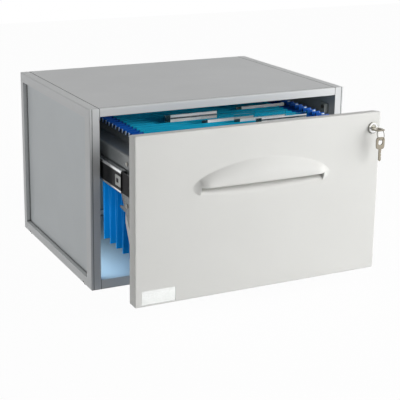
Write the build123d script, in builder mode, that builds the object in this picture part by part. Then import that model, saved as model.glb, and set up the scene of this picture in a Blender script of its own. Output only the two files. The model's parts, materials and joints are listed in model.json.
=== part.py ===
"""Drawer module for suspension files: a case on rubber feet with one locking drawer on ball runners.

Millimetres. X runs to the right, Y to the back and Z up. The origin is the middle of the case's
footprint, on the surface that the case stands on. The drawer is modelled open by drawer_open.
"""
import os
from math import copysign

from build123d import *

os.makedirs("parts", exist_ok=True)

# Fits
fit = 0.1
running_gap = 0.3

# Case
case_width = 474
case_depth = 356
case_height = 303
edge_round = 2
side_thickness = 17
front_stile = 20
rear_stile = 15
side_top_rail = 16.5
side_bottom_rail = 16
panel_recess = 8
panel_seat = 5
top_rail = 13
bottom_rail = 16
rail_depth = 12
rear_rail_depth = 8
plate = 5
tray_wall = 4
top_groove_set_back = 7
top_groove_width = 1
top_groove_depth = 0.6
seam_chamfer = 0.9
stile_groove_set_in = 4
stile_groove_width = 1.2
stile_groove_depth = 0.9
back_sheet = 4
back_groove = 4
back_set_in = 2

# Feet under the sides and the notches that show them
foot_radius = 4
foot_inset = 5.2
foot_drop = 1.5
foot_grip = 8
foot_spread_y = 284
foot_notch_width = 7
foot_notch_height = 3.5

# Case screws
case_screw_radius = 1.75
case_screw_grip = 10
case_screw_head_radius = 3
case_screw_head = 2
case_screw_pitch = 110
screw_slot = 0.8

# Drawer front
drawer_open = 136
front_gap = 1.5
front_thickness = 20
front_corner = 3
front_skin = 3
front_wall = 3
cover_sheet = 2.5
boss_radius = 4.5
cover_screw_radius = 1.5
cover_screw_head_radius = 2.8
cover_screw_head = 1.2
cover_screw_grip = 9
cover_screw_inset_x = 60
cover_screw_inset_low = 46.5
cover_screw_inset_high = 48
grip_below_top = 90.5
swell_half_width = 130
swell_above = 37
swell_below = 31
swell_proud = 12
swell_shoulder = 108
swell_shoulder_proud = 10.5
swell_slope = 45
swell_tip = 143
swell_tip_round = 16
scoop_half_width = 110
scoop_drop = 31
scoop_end_drop = 14
scoop_depth = 14
scoop_step = 1.5
scoop_curve_depth = 10
scoop_curve_drop = 20
finger_half_width = 85
finger_up = 10
finger_proud = 5
scoop_round = 5

# Label place
label_width = 57
label_height = 22.5
label_inset_x = 11.5
label_inset_z = 3
label_card_sheet = 0.4
label_cover_sheet = 0.5

# Lock and keys
lock_inset_x = 15
lock_inset_z = 26
rosette_radius = 9.5
rosette_proud = 2
housing_radius = 8
housing_past_front = 2.5
nut_radius = 11
nut_height = 4
plug_radius = 5.5
plug_proud = 0.2
tail_radius = 3
cam_reach = 13.8
cam_width = 9
cam_sheet = 2
cam_screw_radius = 1.25
cam_screw_head_radius = 3.6
cam_screw_head = 1.5
cam_screw_grip = 6
key_sheet = 2
key_bow_length = 20
key_bow_width = 18
key_bow_round = 6
key_hole_radius = 4.5
key_bridge = 4
key_blade_width = 7
key_blade_length = 20
key_stand_off = 2
bitting_depth = 1.4
bitting_pitch = 3.4
bitting_count = 4
ring_radius = 9
ring_wire = 0.6
strike_sheet = 1.2
strike_height = 15
strike_length = 22
strike_screw_from = 8.5
strike_screw_pitch = 8
strike_clearance = 0.9

# Ball runners
slide_length = 300
slide_below_roof = 86
slide_set_back = 6
slide_half_height = 22.75
slide_space = 12.7
gauge = 1.2
runner_bend = 2.4
ball_radius = 1.5
race_play = 0.1
outer_lip = 9.5
middle_web = 2.6
middle_lip = 10.8
inner_lip = 5.4
middle_share = 0.78
cage_sheet = 0.6
cage_ball_play = 0.25
outer_cage_from = 110
outer_cage_length = 80
inner_cage_from = 52
inner_cage_length = 195
ball_pitch = 18
outer_cage_web = 1.6
inner_cage_web = 4.2
slide_screw_radius = 1.5
slide_screw_head_radius = 3
slide_screw_grip = 6.5
slide_screw_from = 30
slide_screw_pitch = 120
slide_screw_count = 3
bumper_length = 40
bumper_plate = 0.9
bumper_web = 4.2
bumper_half_height = 16.4

# Drawer frame of bent sheet
drawer_sheet = 1.2
drawer_length = 310
side_below_slide = 20
ledge_above_slide = 41.4
hang_above_slide = 59.5
rail_inset = 30.3
side_bend = 2.5
ear_length = 62
ear_drop = 99
ear_lug_drop = 22
ear_lug_height = 9
ear_lug_reach = 64
ear_lug_tip = 3
bracket_sheet = 1.5
bracket_length = 45
bracket_flange = 26
bracket_drop = 104
bracket_chamfer = 18
crossbar_tab = 18
rivet_radius = 1.6
rivet_head_radius = 2.6
rivet_head = 0.9
rivet_from = 90
rivet_pitch = 90
rivet_count = 3
drawer_screw_radius = 1.9
drawer_screw_head_radius = 3.2
drawer_screw_head = 1.4
drawer_screw_past = 2
drawer_screw_grip = 8
drawer_screw_set_back = 35
ear_screw_drop = 39
top_screw_rise = 28
bracket_screw_rise = 24.4

# Suspension files
file_count = 9
file_pitch = 28
file_first = 13
file_sheet = 0.5
file_half_mouth = 8.7
file_half_fold = 1.2
file_above_floor = 26
file_end_gap = 11
file_below_rail = 3
bar_sheet = 2
bar_height = 9
bar_below_rail = 2
hook_rest = 0.3
hook_height = 4.2
hook_past = 4
hook_nose = 2
hook_nose_drop = 8
hook_root = 6
hook_neck = 12
tab_length = 100
tab_height = 14
tab_sheet = 0.5
tab_gap = 1.1
tab_label_sheet = 0.4
tabbed_bars = {5: 88, 7: 63, 8: 10, 10: -45, 13: 112}

# Places worked out from the sizes above
half_width = case_width / 2
inner_x = half_width - side_thickness
case_front = -case_depth / 2
case_back = case_depth / 2
side_height = case_height - foot_drop
side_middle_z = foot_drop + side_height / 2
window_depth = case_depth - front_stile - rear_stile
window_height = side_height - side_top_rail - side_bottom_rail
window_y = (front_stile - rear_stile) / 2
window_z = foot_drop + side_bottom_rail + window_height / 2
board = side_thickness - panel_recess
foot_x = half_width - foot_inset
floor_top = foot_drop + bottom_rail
roof_under = case_height - top_rail
tray_x = inner_x - fit
tray_inner_x = tray_x - tray_wall
top_screw_z = roof_under + (top_rail - plate) / 2 + fit
bottom_screw_z = foot_drop + plate + case_screw_head_radius + fit
front_width = 2 * (inner_x - front_gap)
front_bottom = floor_top + front_gap
front_top = roof_under - front_gap
front_height = front_top - front_bottom
front_middle_z = (front_top + front_bottom) / 2
front_y = case_front - drawer_open
cover_y = front_y + front_thickness - cover_sheet
drawer_front_y = front_y + front_thickness
drawer_back_y = drawer_front_y + drawer_length
grip_z = front_top - grip_below_top
lock_x = front_width / 2 - lock_inset_x
lock_z = front_top - lock_inset_z
housing_end_y = drawer_front_y + housing_past_front
cam_y = housing_end_y + running_gap
slide_z = roof_under - slide_below_roof
slide_front = case_front + front_thickness + slide_set_back
slide_back = slide_front + slide_length
race_gap = 2 * (ball_radius + race_play)
middle_half_height = slide_half_height - gauge - race_gap
inner_half_height = middle_half_height - gauge - race_gap
middle_back = slide_back - middle_share * drawer_open
inner_back = slide_back - drawer_open
outer_cage_back = slide_front + outer_cage_from + outer_cage_length - middle_share * drawer_open / 2
inner_cage_back = slide_front + inner_cage_from + inner_cage_length - (1 + middle_share) * drawer_open / 2
drawer_x = inner_x - slide_space
drawer_inner_x = drawer_x - drawer_sheet
side_low = slide_z - side_below_slide
ledge_z = slide_z + ledge_above_slide
rail_top = slide_z + hang_above_slide
rail_x = drawer_x - rail_inset
bracket_low = slide_z - bracket_drop
bracket_high = ledge_z - side_bend - drawer_sheet
bracket_screw_x = drawer_inner_x - bracket_flange / 2
ring_y = front_y - rosette_proud - plug_proud - key_stand_off - key_bow_length + key_bridge / 2
ring_top = lock_z + key_sheet / 2 + running_gap + ring_wire
ring_z = ring_top - ring_radius
spare_top = ring_z - ring_radius + ring_wire + running_gap + key_bridge

# Directions in which a screw is driven, as turns of its own +Z axis
TO_LEFT = (0, -90, 0)
TO_RIGHT = (0, 90, 0)
TO_BACK = (-90, 0, 0)
TO_FRONT = (90, 0, 0)
FROM_TIP = (Align.CENTER, Align.CENTER, Align.MIN)
TO_TIP = (Align.CENTER, Align.CENTER, Align.MAX)


def write(piece, node):
    """Label a finished piece with its node's name and write it."""
    piece.label = node
    export_step(piece, f"parts/{node}.step")


def write_pair(piece, node):
    """Write a left-hand piece and its mirror image on the right."""
    write(piece, f"left_{node}")
    with BuildPart() as twin:
        mirror(piece, about=Plane.YZ)
    write(twin.part, f"right_{node}")


def drill(spot, turn, radius, depth):
    """Bore a round hole into the open part, from spot along the turned +Z axis."""
    with Locations(Location(spot, turn)):
        Cylinder(radius, depth, align=FROM_TIP, mode=Mode.SUBTRACT)


def drive(spot, turn, radius, length, head_radius, head):
    """Add a slotted screw to the open part: the underside of its head is at spot."""
    with Locations(Location(spot, turn)):
        Cylinder(head_radius, head, align=TO_TIP)
        Cylinder(radius, length, align=FROM_TIP)
    with Locations(Location(spot, turn) * Location((0, 0, -head))):
        Box(2 * head_radius, screw_slot, head / 2, align=FROM_TIP, mode=Mode.SUBTRACT)


def rectangle_on(plane, width, height, middle):
    """Return a rectangle on a plane, centred on middle."""
    with BuildSketch(plane) as face:
        with Locations(middle):
            Rectangle(width, height)
    return face.sketch


# Places that several pieces share
foot_spots = [(foot_x, y) for y in (-foot_spread_y / 2, foot_spread_y / 2)]
case_screw_ys = [-case_screw_pitch, 0, case_screw_pitch]
case_screw_zs = [top_screw_z, bottom_screw_z]
first_slide_screw_y = slide_front + slide_screw_from
slide_screw_ys = [first_slide_screw_y + slide_screw_pitch * i for i in range(slide_screw_count)]
strike_y = case_front + front_thickness + (housing_past_front + running_gap - strike_sheet) / 2
strike_screw_ys = [strike_y + strike_screw_from, strike_y + strike_screw_from + strike_screw_pitch]
rivet_ys = [drawer_front_y + rivet_from + rivet_pitch * i for i in range(rivet_count)]
bracket_screw_zs = [bracket_low + bracket_screw_rise, slide_z + top_screw_rise]
side_screw_spots = [
    (drawer_front_y + drawer_screw_set_back, slide_z - ear_screw_drop),
    (drawer_front_y + drawer_screw_set_back, slide_z + top_screw_rise),
]
crossbar_screw = (drawer_back_y - crossbar_tab / 2, slide_z + top_screw_rise)
cover_screw_spots = [
    (x, z)
    for x in (cover_screw_inset_x - front_width / 2, 0, front_width / 2 - cover_screw_inset_x)
    for z in (front_bottom + cover_screw_inset_low, front_top - cover_screw_inset_high)
]

# Side frame, with a rebate for its board, bores for its feet, grooves and screw holes
with BuildPart() as side_frame:
    face = rectangle_on(Plane.YZ.offset(-half_width), case_depth, side_height, (0, side_middle_z))
    extrude(face, amount=side_thickness)
    fillet(side_frame.faces().sort_by(Axis.X)[0].edges(), edge_round)
    chamfer(side_frame.faces().sort_by(Axis.Z)[-1].edges().sort_by(Axis.X)[-1], seam_chamfer)
    groove_x = stile_groove_set_in + stile_groove_width / 2 - half_width
    face = rectangle_on(
        Plane.XZ.offset(-case_front), stile_groove_width, case_height, (groove_x, case_height / 2)
    )
    extrude(face, amount=-stile_groove_depth, mode=Mode.SUBTRACT)
    face = rectangle_on(Plane.YZ.offset(-half_width), window_depth, window_height, (window_y, window_z))
    extrude(face, amount=side_thickness, mode=Mode.SUBTRACT)
    face = rectangle_on(
        Plane.YZ.offset(-inner_x),
        window_depth + 2 * panel_seat,
        window_height + 2 * panel_seat,
        (window_y, window_z),
    )
    extrude(face, amount=-board, mode=Mode.SUBTRACT)
    face = rectangle_on(
        Plane.YZ.offset(-inner_x),
        back_sheet + 2 * fit,
        roof_under - floor_top,
        (case_back - back_set_in - back_sheet / 2, (roof_under + floor_top) / 2),
    )
    extrude(face, amount=-back_groove, mode=Mode.SUBTRACT)
    for x, y in foot_spots:
        drill((-x, y, foot_drop), (0, 0, 0), foot_radius + fit / 2, foot_grip)
        with Locations((-half_width, y, foot_drop)):
            Box(
                half_width - x,
                foot_notch_width,
                foot_notch_height,
                align=(Align.MIN, Align.CENTER, Align.MIN),
                mode=Mode.SUBTRACT,
            )
    for y in case_screw_ys:
        for z in case_screw_zs:
            drill((-inner_x, y, z), TO_LEFT, case_screw_radius + fit / 2, case_screw_grip)
write_pair(side_frame.part, "side_frame")

# Board set into the side frame from the inside
with BuildPart() as side_panel:
    face = rectangle_on(
        Plane.YZ.offset(-inner_x),
        window_depth + 2 * (panel_seat - fit),
        window_height + 2 * (panel_seat - fit),
        (window_y, window_z),
    )
    extrude(face, amount=-board)
    for y in slide_screw_ys:
        drill((-inner_x, y, slide_z), TO_LEFT, slide_screw_radius + fit / 2, slide_screw_grip + fit)
    for y in strike_screw_ys:
        drill((-inner_x, y, lock_z), TO_LEFT, slide_screw_radius + fit / 2, slide_screw_grip + fit)
write_pair(side_panel.part, "side_panel")

# Roof tray with its front rail and a fine groove behind the front edge
with BuildPart() as top_panel:
    face = rectangle_on(Plane.XY.offset(roof_under), 2 * tray_x, case_depth, (0, 0))
    extrude(face, amount=top_rail)
    seam_edges = top_panel.faces().sort_by(Axis.Z)[-1].edges().sort_by(Axis.X)
    chamfer([seam_edges[0], seam_edges[-1]], seam_chamfer)
    front_edge = top_panel.faces().sort_by(Axis.Z)[-1].edges().sort_by(Axis.Y)[0]
    fillet(front_edge, edge_round)
    face = rectangle_on(
        Plane.XY.offset(roof_under),
        2 * tray_inner_x,
        case_depth - rail_depth - rear_rail_depth,
        (0, (rail_depth - rear_rail_depth) / 2),
    )
    extrude(face, amount=top_rail - plate, mode=Mode.SUBTRACT)
    groove_y = case_front + top_groove_set_back
    face = rectangle_on(Plane.XY.offset(case_height), 2 * tray_x, top_groove_width, (0, groove_y))
    extrude(face, amount=-top_groove_depth, mode=Mode.SUBTRACT)
    for y in case_screw_ys:
        drill((-tray_inner_x, y, top_screw_z), TO_LEFT, case_screw_radius + fit, 2 * tray_wall)
        drill((tray_inner_x, y, top_screw_z), TO_RIGHT, case_screw_radius + fit, 2 * tray_wall)
write(top_panel.part, "top_panel")

# Floor tray with the bottom front rail
with BuildPart() as bottom_panel:
    face = rectangle_on(Plane.XY.offset(foot_drop), 2 * tray_x, case_depth, (0, 0))
    extrude(face, amount=bottom_rail)
    face = rectangle_on(
        Plane.XY.offset(foot_drop + plate),
        2 * tray_inner_x,
        case_depth - rail_depth - rear_rail_depth,
        (0, (rail_depth - rear_rail_depth) / 2),
    )
    extrude(face, amount=bottom_rail, mode=Mode.SUBTRACT)
    for y in case_screw_ys:
        drill((-tray_inner_x, y, bottom_screw_z), TO_LEFT, case_screw_radius + fit, 2 * tray_wall)
        drill((tray_inner_x, y, bottom_screw_z), TO_RIGHT, case_screw_radius + fit, 2 * tray_wall)
write(bottom_panel.part, "bottom_panel")

# Back sheet, slid into the grooves of the sides between the two trays
with BuildPart() as back_panel:
    face = rectangle_on(
        Plane.XZ.offset(-(case_back - back_set_in)),
        2 * (inner_x + back_groove - fit),
        roof_under - floor_top - 2 * fit,
        (0, (roof_under + floor_top) / 2),
    )
    extrude(face, amount=back_sheet)
write(back_panel.part, "back_panel")

# Rubber feet that the case stands on
with BuildPart() as case_feet:
    for x, y in foot_spots:
        with Locations((-x, y, 0), (x, y, 0)):
            Cylinder(foot_radius, foot_drop + foot_grip, align=FROM_TIP)
write(case_feet.part, "case_feet")

# Screws from the trays into the side frames
with BuildPart() as case_screws:
    for y in case_screw_ys:
        for z in case_screw_zs:
            for x, turn in ((-tray_inner_x, TO_LEFT), (tray_inner_x, TO_RIGHT)):
                drive((x, y, z), turn, case_screw_radius, tray_wall + case_screw_grip - fit,
                      case_screw_head_radius, case_screw_head)
write(case_screws.part, "case_screws")


def runner(web, lip, half_height, sheet, back, length):
    """Rolled channel along Y on the left: web and lip are distances in from the side's inner face."""
    web_x = -inner_x + web + copysign(sheet / 2, lip - web)
    lip_x = -inner_x + lip
    reach = half_height - sheet / 2
    with BuildPart() as channel:
        with BuildSketch(Plane.XZ.offset(-back)):
            with BuildLine():
                FilletPolyline(
                    (lip_x, slide_z + reach),
                    (web_x, slide_z + reach),
                    (web_x, slide_z - reach),
                    (lip_x, slide_z - reach),
                    radius=runner_bend - sheet / 2,
                )
            trace(line_width=sheet)
        extrude(amount=length)
    return channel


def ball_cage(web, lip, race_half_height, back, length):
    """Ball retainer with its two rows of balls: one strip and the balls, each a solid of its own."""
    half_height = race_half_height - race_gap / 2 + cage_sheet / 2
    ball_x = -inner_x + (web + lip) / 2
    ball_count = int((length - ball_pitch) // ball_pitch) + 1
    rows = [slide_z - half_height + cage_sheet / 2, slide_z + half_height - cage_sheet / 2]
    middle_y = back - length / 2
    strip = runner(web, lip, half_height, cage_sheet, back, length)
    with BuildPart() as cage:
        add(strip.part)
        for z in rows:
            with Locations((ball_x, middle_y, z)):
                with GridLocations(1, ball_pitch, 1, ball_count):
                    Cylinder(ball_radius + cage_ball_play, 4 * cage_sheet, mode=Mode.SUBTRACT)
                    Sphere(ball_radius)
    return cage


# Fixed runner channels on the sides
slide_outer = runner(0, outer_lip, slide_half_height, gauge, slide_back, slide_length)
with BuildPart() as slide_outer_drilled:
    add(slide_outer.part)
    for y in slide_screw_ys:
        drill((-inner_x + gauge, y, slide_z), TO_LEFT, slide_screw_head_radius + fit, 2 * gauge)
write_pair(slide_outer_drilled.part, "slide_outer")

# Middle runner channels, which follow the drawer part of the way
slide_middle = runner(middle_web, middle_lip, middle_half_height, gauge, middle_back, slide_length)
write_pair(slide_middle.part, "slide_middle")

# Inner runner channels, riveted to the drawer sides
slide_inner = runner(slide_space, inner_lip, inner_half_height, gauge, inner_back, slide_length)
with BuildPart() as slide_inner_drilled:
    add(slide_inner.part)
    for y in rivet_ys:
        drill((-drawer_x - gauge, y, slide_z), TO_RIGHT, rivet_radius + fit / 2, 2 * gauge)
write_pair(slide_inner_drilled.part, "slide_inner")

# Ball cages between the channels
outer_cage = ball_cage(
    outer_cage_web, outer_lip - gauge, slide_half_height - gauge, outer_cage_back, outer_cage_length
)
write_pair(outer_cage.part, "outer_ball_cage")
inner_cage = ball_cage(
    inner_cage_web, middle_lip - gauge, middle_half_height - gauge, inner_cage_back, inner_cage_length
)
write_pair(inner_cage.part, "inner_ball_cage")

# Black plastic bumper plugged into the front of each inner channel
with BuildPart() as slide_bumper:
    bumper_plane = Plane.XZ.offset(-(inner_back - slide_length + bumper_length))
    plate_x = -inner_x + bumper_web + bumper_plate / 2
    plug_from = -inner_x + bumper_web
    plug_to = -drawer_x - gauge - running_gap
    face = rectangle_on(bumper_plane, bumper_plate, 2 * bumper_half_height, (plate_x, slide_z))
    extrude(face, amount=bumper_length)
    with BuildSketch(bumper_plane):
        with Locations(((plug_from + plug_to) / 2, slide_z)):
            RectangleRounded(plug_to - plug_from, 2 * (inner_half_height - gauge - fit), runner_bend)
    extrude(amount=bumper_length)
write_pair(slide_bumper.part, "slide_bumper")

# Flush screws that hold the fixed channels and the strike to the side boards
with BuildPart() as runner_screws:
    for side, turn in ((-1, TO_LEFT), (1, TO_RIGHT)):
        for y in slide_screw_ys:
            drive((side * inner_x, y, slide_z), turn, slide_screw_radius, slide_screw_grip,
                  slide_screw_head_radius, gauge)
    for y in strike_screw_ys:
        drive((inner_x - strike_sheet, y, lock_z), TO_RIGHT, slide_screw_radius,
              strike_sheet + slide_screw_grip, slide_screw_head_radius, gauge)
write(runner_screws.part, "runner_screws")

# Bent drawer side: its upper edge is the rail that the files hang on, and an ear with a lug runs down the front
ear_slope = ear_length / (ear_drop - side_bend)
lug_high = side_low - ear_lug_drop
lug_low = lug_high - ear_lug_height
lug_middle = (lug_high + lug_low) / 2
with BuildPart() as drawer_side:
    web_x = -drawer_x + drawer_sheet / 2
    with BuildSketch(Plane.XZ.offset(-drawer_back_y)):
        with BuildLine():
            FilletPolyline(
                (web_x, side_low),
                (web_x, ledge_z),
                (-rail_x, ledge_z),
                (-rail_x, rail_top),
                radius=side_bend,
            )
        trace(line_width=drawer_sheet)
    extrude(amount=drawer_length)
    with BuildSketch(Plane.YZ.offset(-drawer_x)):
        with BuildLine():
            Polyline(
                (drawer_front_y, side_low + side_bend),
                (drawer_front_y + ear_length, side_low + side_bend),
                (drawer_front_y + ear_length, side_low),
                (drawer_front_y + ear_length - ear_slope * (side_low - lug_high), lug_high),
                (drawer_front_y + ear_lug_reach, lug_middle + ear_lug_tip / 2),
                (drawer_front_y + ear_lug_reach, lug_middle - ear_lug_tip / 2),
                (drawer_front_y + ear_length - ear_slope * (side_low - lug_low), lug_low),
                (drawer_front_y, side_low + side_bend - ear_drop),
                close=True,
            )
        make_face()
    extrude(amount=drawer_sheet)
    for y, z in side_screw_spots + [crossbar_screw]:
        drill((-drawer_x, y, z), TO_RIGHT, drawer_screw_radius + fit, 2 * drawer_sheet)
    for y in rivet_ys:
        drill((-drawer_x, y, slide_z), TO_RIGHT, rivet_radius + fit / 2, 2 * drawer_sheet)
write_pair(drawer_side.part, "drawer_side")

# Angle bracket between a drawer side and the drawer front
with BuildPart() as front_bracket:
    with BuildSketch(Plane.YZ.offset(-drawer_inner_x)):
        with BuildLine():
            Polyline(
                (drawer_front_y, bracket_low),
                (drawer_front_y + bracket_length - bracket_chamfer, bracket_low),
                (drawer_front_y + bracket_length, bracket_low + 2 * bracket_chamfer),
                (drawer_front_y + bracket_length, bracket_high),
                (drawer_front_y, bracket_high),
                close=True,
            )
        make_face()
    extrude(amount=bracket_sheet)
    face = rectangle_on(
        Plane.XZ.offset(-drawer_front_y),
        bracket_flange,
        bracket_high - bracket_low,
        (-drawer_inner_x + bracket_flange / 2, (bracket_high + bracket_low) / 2),
    )
    extrude(face, amount=-bracket_sheet)
    for y, z in side_screw_spots:
        drill((-drawer_inner_x, y, z), TO_RIGHT, drawer_screw_radius + fit, 2 * bracket_sheet)
    for z in bracket_screw_zs:
        drill((-bracket_screw_x, drawer_front_y, z), TO_BACK, drawer_screw_radius + fit, 2 * bracket_sheet)
write_pair(front_bracket.part, "front_bracket")

# Crossbar that ties the two drawer sides together at the back
with BuildPart() as rear_crossbar:
    bar_x = drawer_inner_x - drawer_sheet / 2
    bar_y = drawer_back_y - drawer_sheet / 2
    with BuildSketch(Plane.XY.offset(side_low)):
        with BuildLine():
            FilletPolyline(
                (-bar_x, drawer_back_y - crossbar_tab),
                (-bar_x, bar_y),
                (bar_x, bar_y),
                (bar_x, drawer_back_y - crossbar_tab),
                radius=side_bend,
            )
        trace(line_width=drawer_sheet)
    extrude(amount=bracket_high - side_low)
    y, z = crossbar_screw
    drill((-drawer_inner_x, y, z), TO_RIGHT, drawer_screw_radius + fit, 2 * drawer_sheet)
    drill((drawer_inner_x, y, z), TO_LEFT, drawer_screw_radius + fit, 2 * drawer_sheet)
write(rear_crossbar.part, "rear_crossbar")

# Rivets through the inner channels and the drawer sides
with BuildPart() as slide_rivets:
    for side, turn in ((-1, TO_RIGHT), (1, TO_LEFT)):
        for y in rivet_ys:
            with Locations(Location((side * (drawer_x + gauge), y, slide_z), turn)):
                Cylinder(rivet_head_radius, rivet_head, align=TO_TIP)
                Cylinder(rivet_radius, gauge + drawer_sheet, align=FROM_TIP)
            with Locations(Location((side * drawer_inner_x, y, slide_z), turn)):
                Cylinder(rivet_head_radius, rivet_head, align=FROM_TIP)
write(slide_rivets.part, "slide_rivets")

# Screws of the drawer: sides to brackets, brackets to front, and sides to crossbar
with BuildPart() as drawer_screws:
    for side, turn in ((-1, TO_RIGHT), (1, TO_LEFT)):
        for y, z in side_screw_spots + [crossbar_screw]:
            drive((side * drawer_x, y, z), turn, drawer_screw_radius,
                  drawer_sheet + bracket_sheet + drawer_screw_past,
                  drawer_screw_head_radius, drawer_screw_head)
        for z in bracket_screw_zs:
            drive((side * bracket_screw_x, drawer_front_y + bracket_sheet, z), TO_FRONT, drawer_screw_radius,
                  bracket_sheet + cover_sheet + drawer_screw_grip,
                  drawer_screw_head_radius, drawer_screw_head)
write(drawer_screws.part, "drawer_screws")

# Swell of the grip: a barrel with blunt ends, trimmed to a lens with sloping edges
swell_middle_z = grip_z + (swell_above - swell_below) / 2
swell_half_height = (swell_above + swell_below) / 2
swell_axis_depth = (swell_half_height**2 - swell_proud**2) / (2 * swell_proud)
swell_axis = Axis((0, front_y + swell_axis_depth, swell_middle_z), (1, 0, 0))
swell_root = front_y + front_skin / 2
with BuildPart() as grip_swell:
    with BuildSketch(Plane.XY.offset(swell_middle_z)):
        with BuildLine():
            Line((-swell_half_width, swell_root), (-swell_shoulder, front_y - swell_shoulder_proud))
            ThreePointArc(
                (-swell_shoulder, front_y - swell_shoulder_proud),
                (0, front_y - swell_proud),
                (swell_shoulder, front_y - swell_shoulder_proud),
            )
            Polyline(
                (swell_shoulder, front_y - swell_shoulder_proud),
                (swell_half_width, swell_root),
                (swell_half_width, front_y + swell_axis_depth),
                (-swell_half_width, front_y + swell_axis_depth),
                (-swell_half_width, swell_root),
            )
        make_face()
    revolve(axis=swell_axis)
    with BuildSketch(Plane.XZ.offset(-swell_root)) as lens:
        with BuildLine():
            left_tip = (-swell_tip, swell_middle_z)
            right_tip = (swell_tip, swell_middle_z)
            ThreePointArc(left_tip, (0, grip_z + swell_above), right_tip)
            ThreePointArc(right_tip, (0, grip_z - swell_below), left_tip)
        make_face()
        fillet(lens.vertices(), swell_tip_round)
    extrude(amount=swell_proud + front_skin, taper=swell_slope, mode=Mode.INTERSECT)

# Space for the fingers: a scoop below the grip
scoop_low = grip_z - scoop_drop - scoop_step
scoop_back = front_y + scoop_depth
scoop_front = front_y - 2 * swell_proud
with BuildPart() as finger_scoop:
    with BuildSketch(Plane.YZ.offset(-scoop_half_width)):
        with BuildLine():
            ThreePointArc(
                (front_y, scoop_low),
                (front_y + scoop_curve_depth, grip_z - scoop_curve_drop),
                (scoop_back, grip_z - scoop_round),
            )
            Polyline(
                (scoop_back, grip_z - scoop_round),
                (scoop_back, grip_z),
                (scoop_front, grip_z),
                (scoop_front, scoop_low),
                (front_y, scoop_low),
            )
        make_face()
    extrude(amount=2 * scoop_half_width)
    with BuildSketch(Plane.XZ.offset(-scoop_back)):
        with BuildLine():
            ThreePointArc(
                (-scoop_half_width, grip_z - scoop_end_drop),
                (0, grip_z - scoop_drop),
                (scoop_half_width, grip_z - scoop_end_drop),
            )
            Polyline(
                (scoop_half_width, grip_z - scoop_end_drop),
                (scoop_half_width, grip_z),
                (-scoop_half_width, grip_z),
                (-scoop_half_width, grip_z - scoop_end_drop),
            )
        make_face()
    extrude(amount=scoop_back - scoop_front, mode=Mode.INTERSECT)

# Room above the scoop for the fingertips to hook up behind the lip of the grip
with BuildPart() as finger_hook:
    with BuildSketch(Plane.YZ.offset(-finger_half_width)):
        with BuildLine():
            FilletPolyline(
                (scoop_back, grip_z),
                (scoop_back, grip_z + finger_up),
                (front_y - finger_proud, grip_z + finger_up),
                (front_y - finger_proud, grip_z),
                radius=scoop_round,
            )
            Line((front_y - finger_proud, grip_z), (scoop_back, grip_z))
        make_face()
    extrude(amount=2 * finger_half_width)

# Drawer front: a hollow shell with the grip, the finger scoop, the label recess and the lock hole
label_x = label_inset_x + label_width / 2 - front_width / 2
label_z = front_bottom + label_inset_z + label_height / 2
label_depth = label_card_sheet + label_cover_sheet + fit
with BuildPart() as front_shell:
    with BuildSketch(Plane.XZ.offset(-front_y)):
        with Locations((0, front_middle_z)):
            RectangleRounded(front_width, front_height, front_corner)
    extrude(amount=-front_thickness)
    fillet(front_shell.faces().sort_by(Axis.Y)[0].edges(), edge_round)
    add(grip_swell.part)
    face = rectangle_on(
        Plane.XZ.offset(-drawer_front_y),
        front_width - 2 * front_wall,
        front_height - 2 * front_wall,
        (0, front_middle_z),
    )
    extrude(face, amount=front_thickness - front_skin, mode=Mode.SUBTRACT)
    face = rectangle_on(
        Plane.XZ.offset(-cover_y),
        2 * (scoop_half_width + front_wall),
        finger_up + scoop_drop + 2 * front_wall,
        (0, grip_z + (finger_up - scoop_drop) / 2),
    )
    extrude(face, amount=cover_y - front_y - front_skin / 2)
    with BuildSketch(Plane.XZ.offset(-cover_y)):
        with Locations(*cover_screw_spots):
            Circle(boss_radius)
        with Locations(*[(side * bracket_screw_x, z) for side in (-1, 1) for z in bracket_screw_zs]):
            Circle(boss_radius)
    extrude(amount=cover_y - front_y - front_skin / 2)
    add(finger_scoop.part, mode=Mode.SUBTRACT)
    add(finger_hook.part, mode=Mode.SUBTRACT)
    face = rectangle_on(Plane.XZ.offset(-front_y), label_width, label_height, (label_x, label_z))
    extrude(face, amount=-label_depth, mode=Mode.SUBTRACT)
    drill((lock_x, front_y - rosette_proud, lock_z), TO_BACK, housing_radius + fit, front_thickness)
    for x, z in cover_screw_spots:
        drill((x, cover_y, z), TO_FRONT, cover_screw_radius + fit / 2, cover_screw_grip)
    for side in (-1, 1):
        for z in bracket_screw_zs:
            drill((side * bracket_screw_x, cover_y, z), TO_FRONT, drawer_screw_radius + fit / 2,
                  drawer_screw_grip + fit)
write(front_shell.part, "front_shell")

# Sheet that closes the drawer front from behind
with BuildPart() as front_cover:
    face = rectangle_on(
        Plane.XZ.offset(-drawer_front_y),
        front_width - 2 * (front_wall + fit),
        front_height - 2 * (front_wall + fit),
        (0, front_middle_z),
    )
    extrude(face, amount=cover_sheet)
    drill((lock_x, cover_y, lock_z), TO_BACK, housing_radius + fit, 2 * cover_sheet)
    for x, z in cover_screw_spots:
        drill((x, cover_y, z), TO_BACK, cover_screw_radius + fit, 2 * cover_sheet)
    for side in (-1, 1):
        for z in bracket_screw_zs:
            drill((side * bracket_screw_x, cover_y, z), TO_BACK, drawer_screw_radius + fit, 2 * cover_sheet)
write(front_cover.part, "front_cover")

with BuildPart() as cover_screws:
    for x, z in cover_screw_spots:
        drive((x, drawer_front_y, z), TO_FRONT, cover_screw_radius, cover_sheet + cover_screw_grip - fit,
              cover_screw_head_radius, cover_screw_head)
write(cover_screws.part, "cover_screws")

# Blank card and its clear cover in the label recess
with BuildPart() as label_card:
    face = rectangle_on(
        Plane.XZ.offset(-(front_y + label_depth)),
        label_width - 2 * fit,
        label_height - 2 * fit,
        (label_x, label_z),
    )
    extrude(face, amount=label_card_sheet)
write(label_card.part, "label_card")

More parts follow.
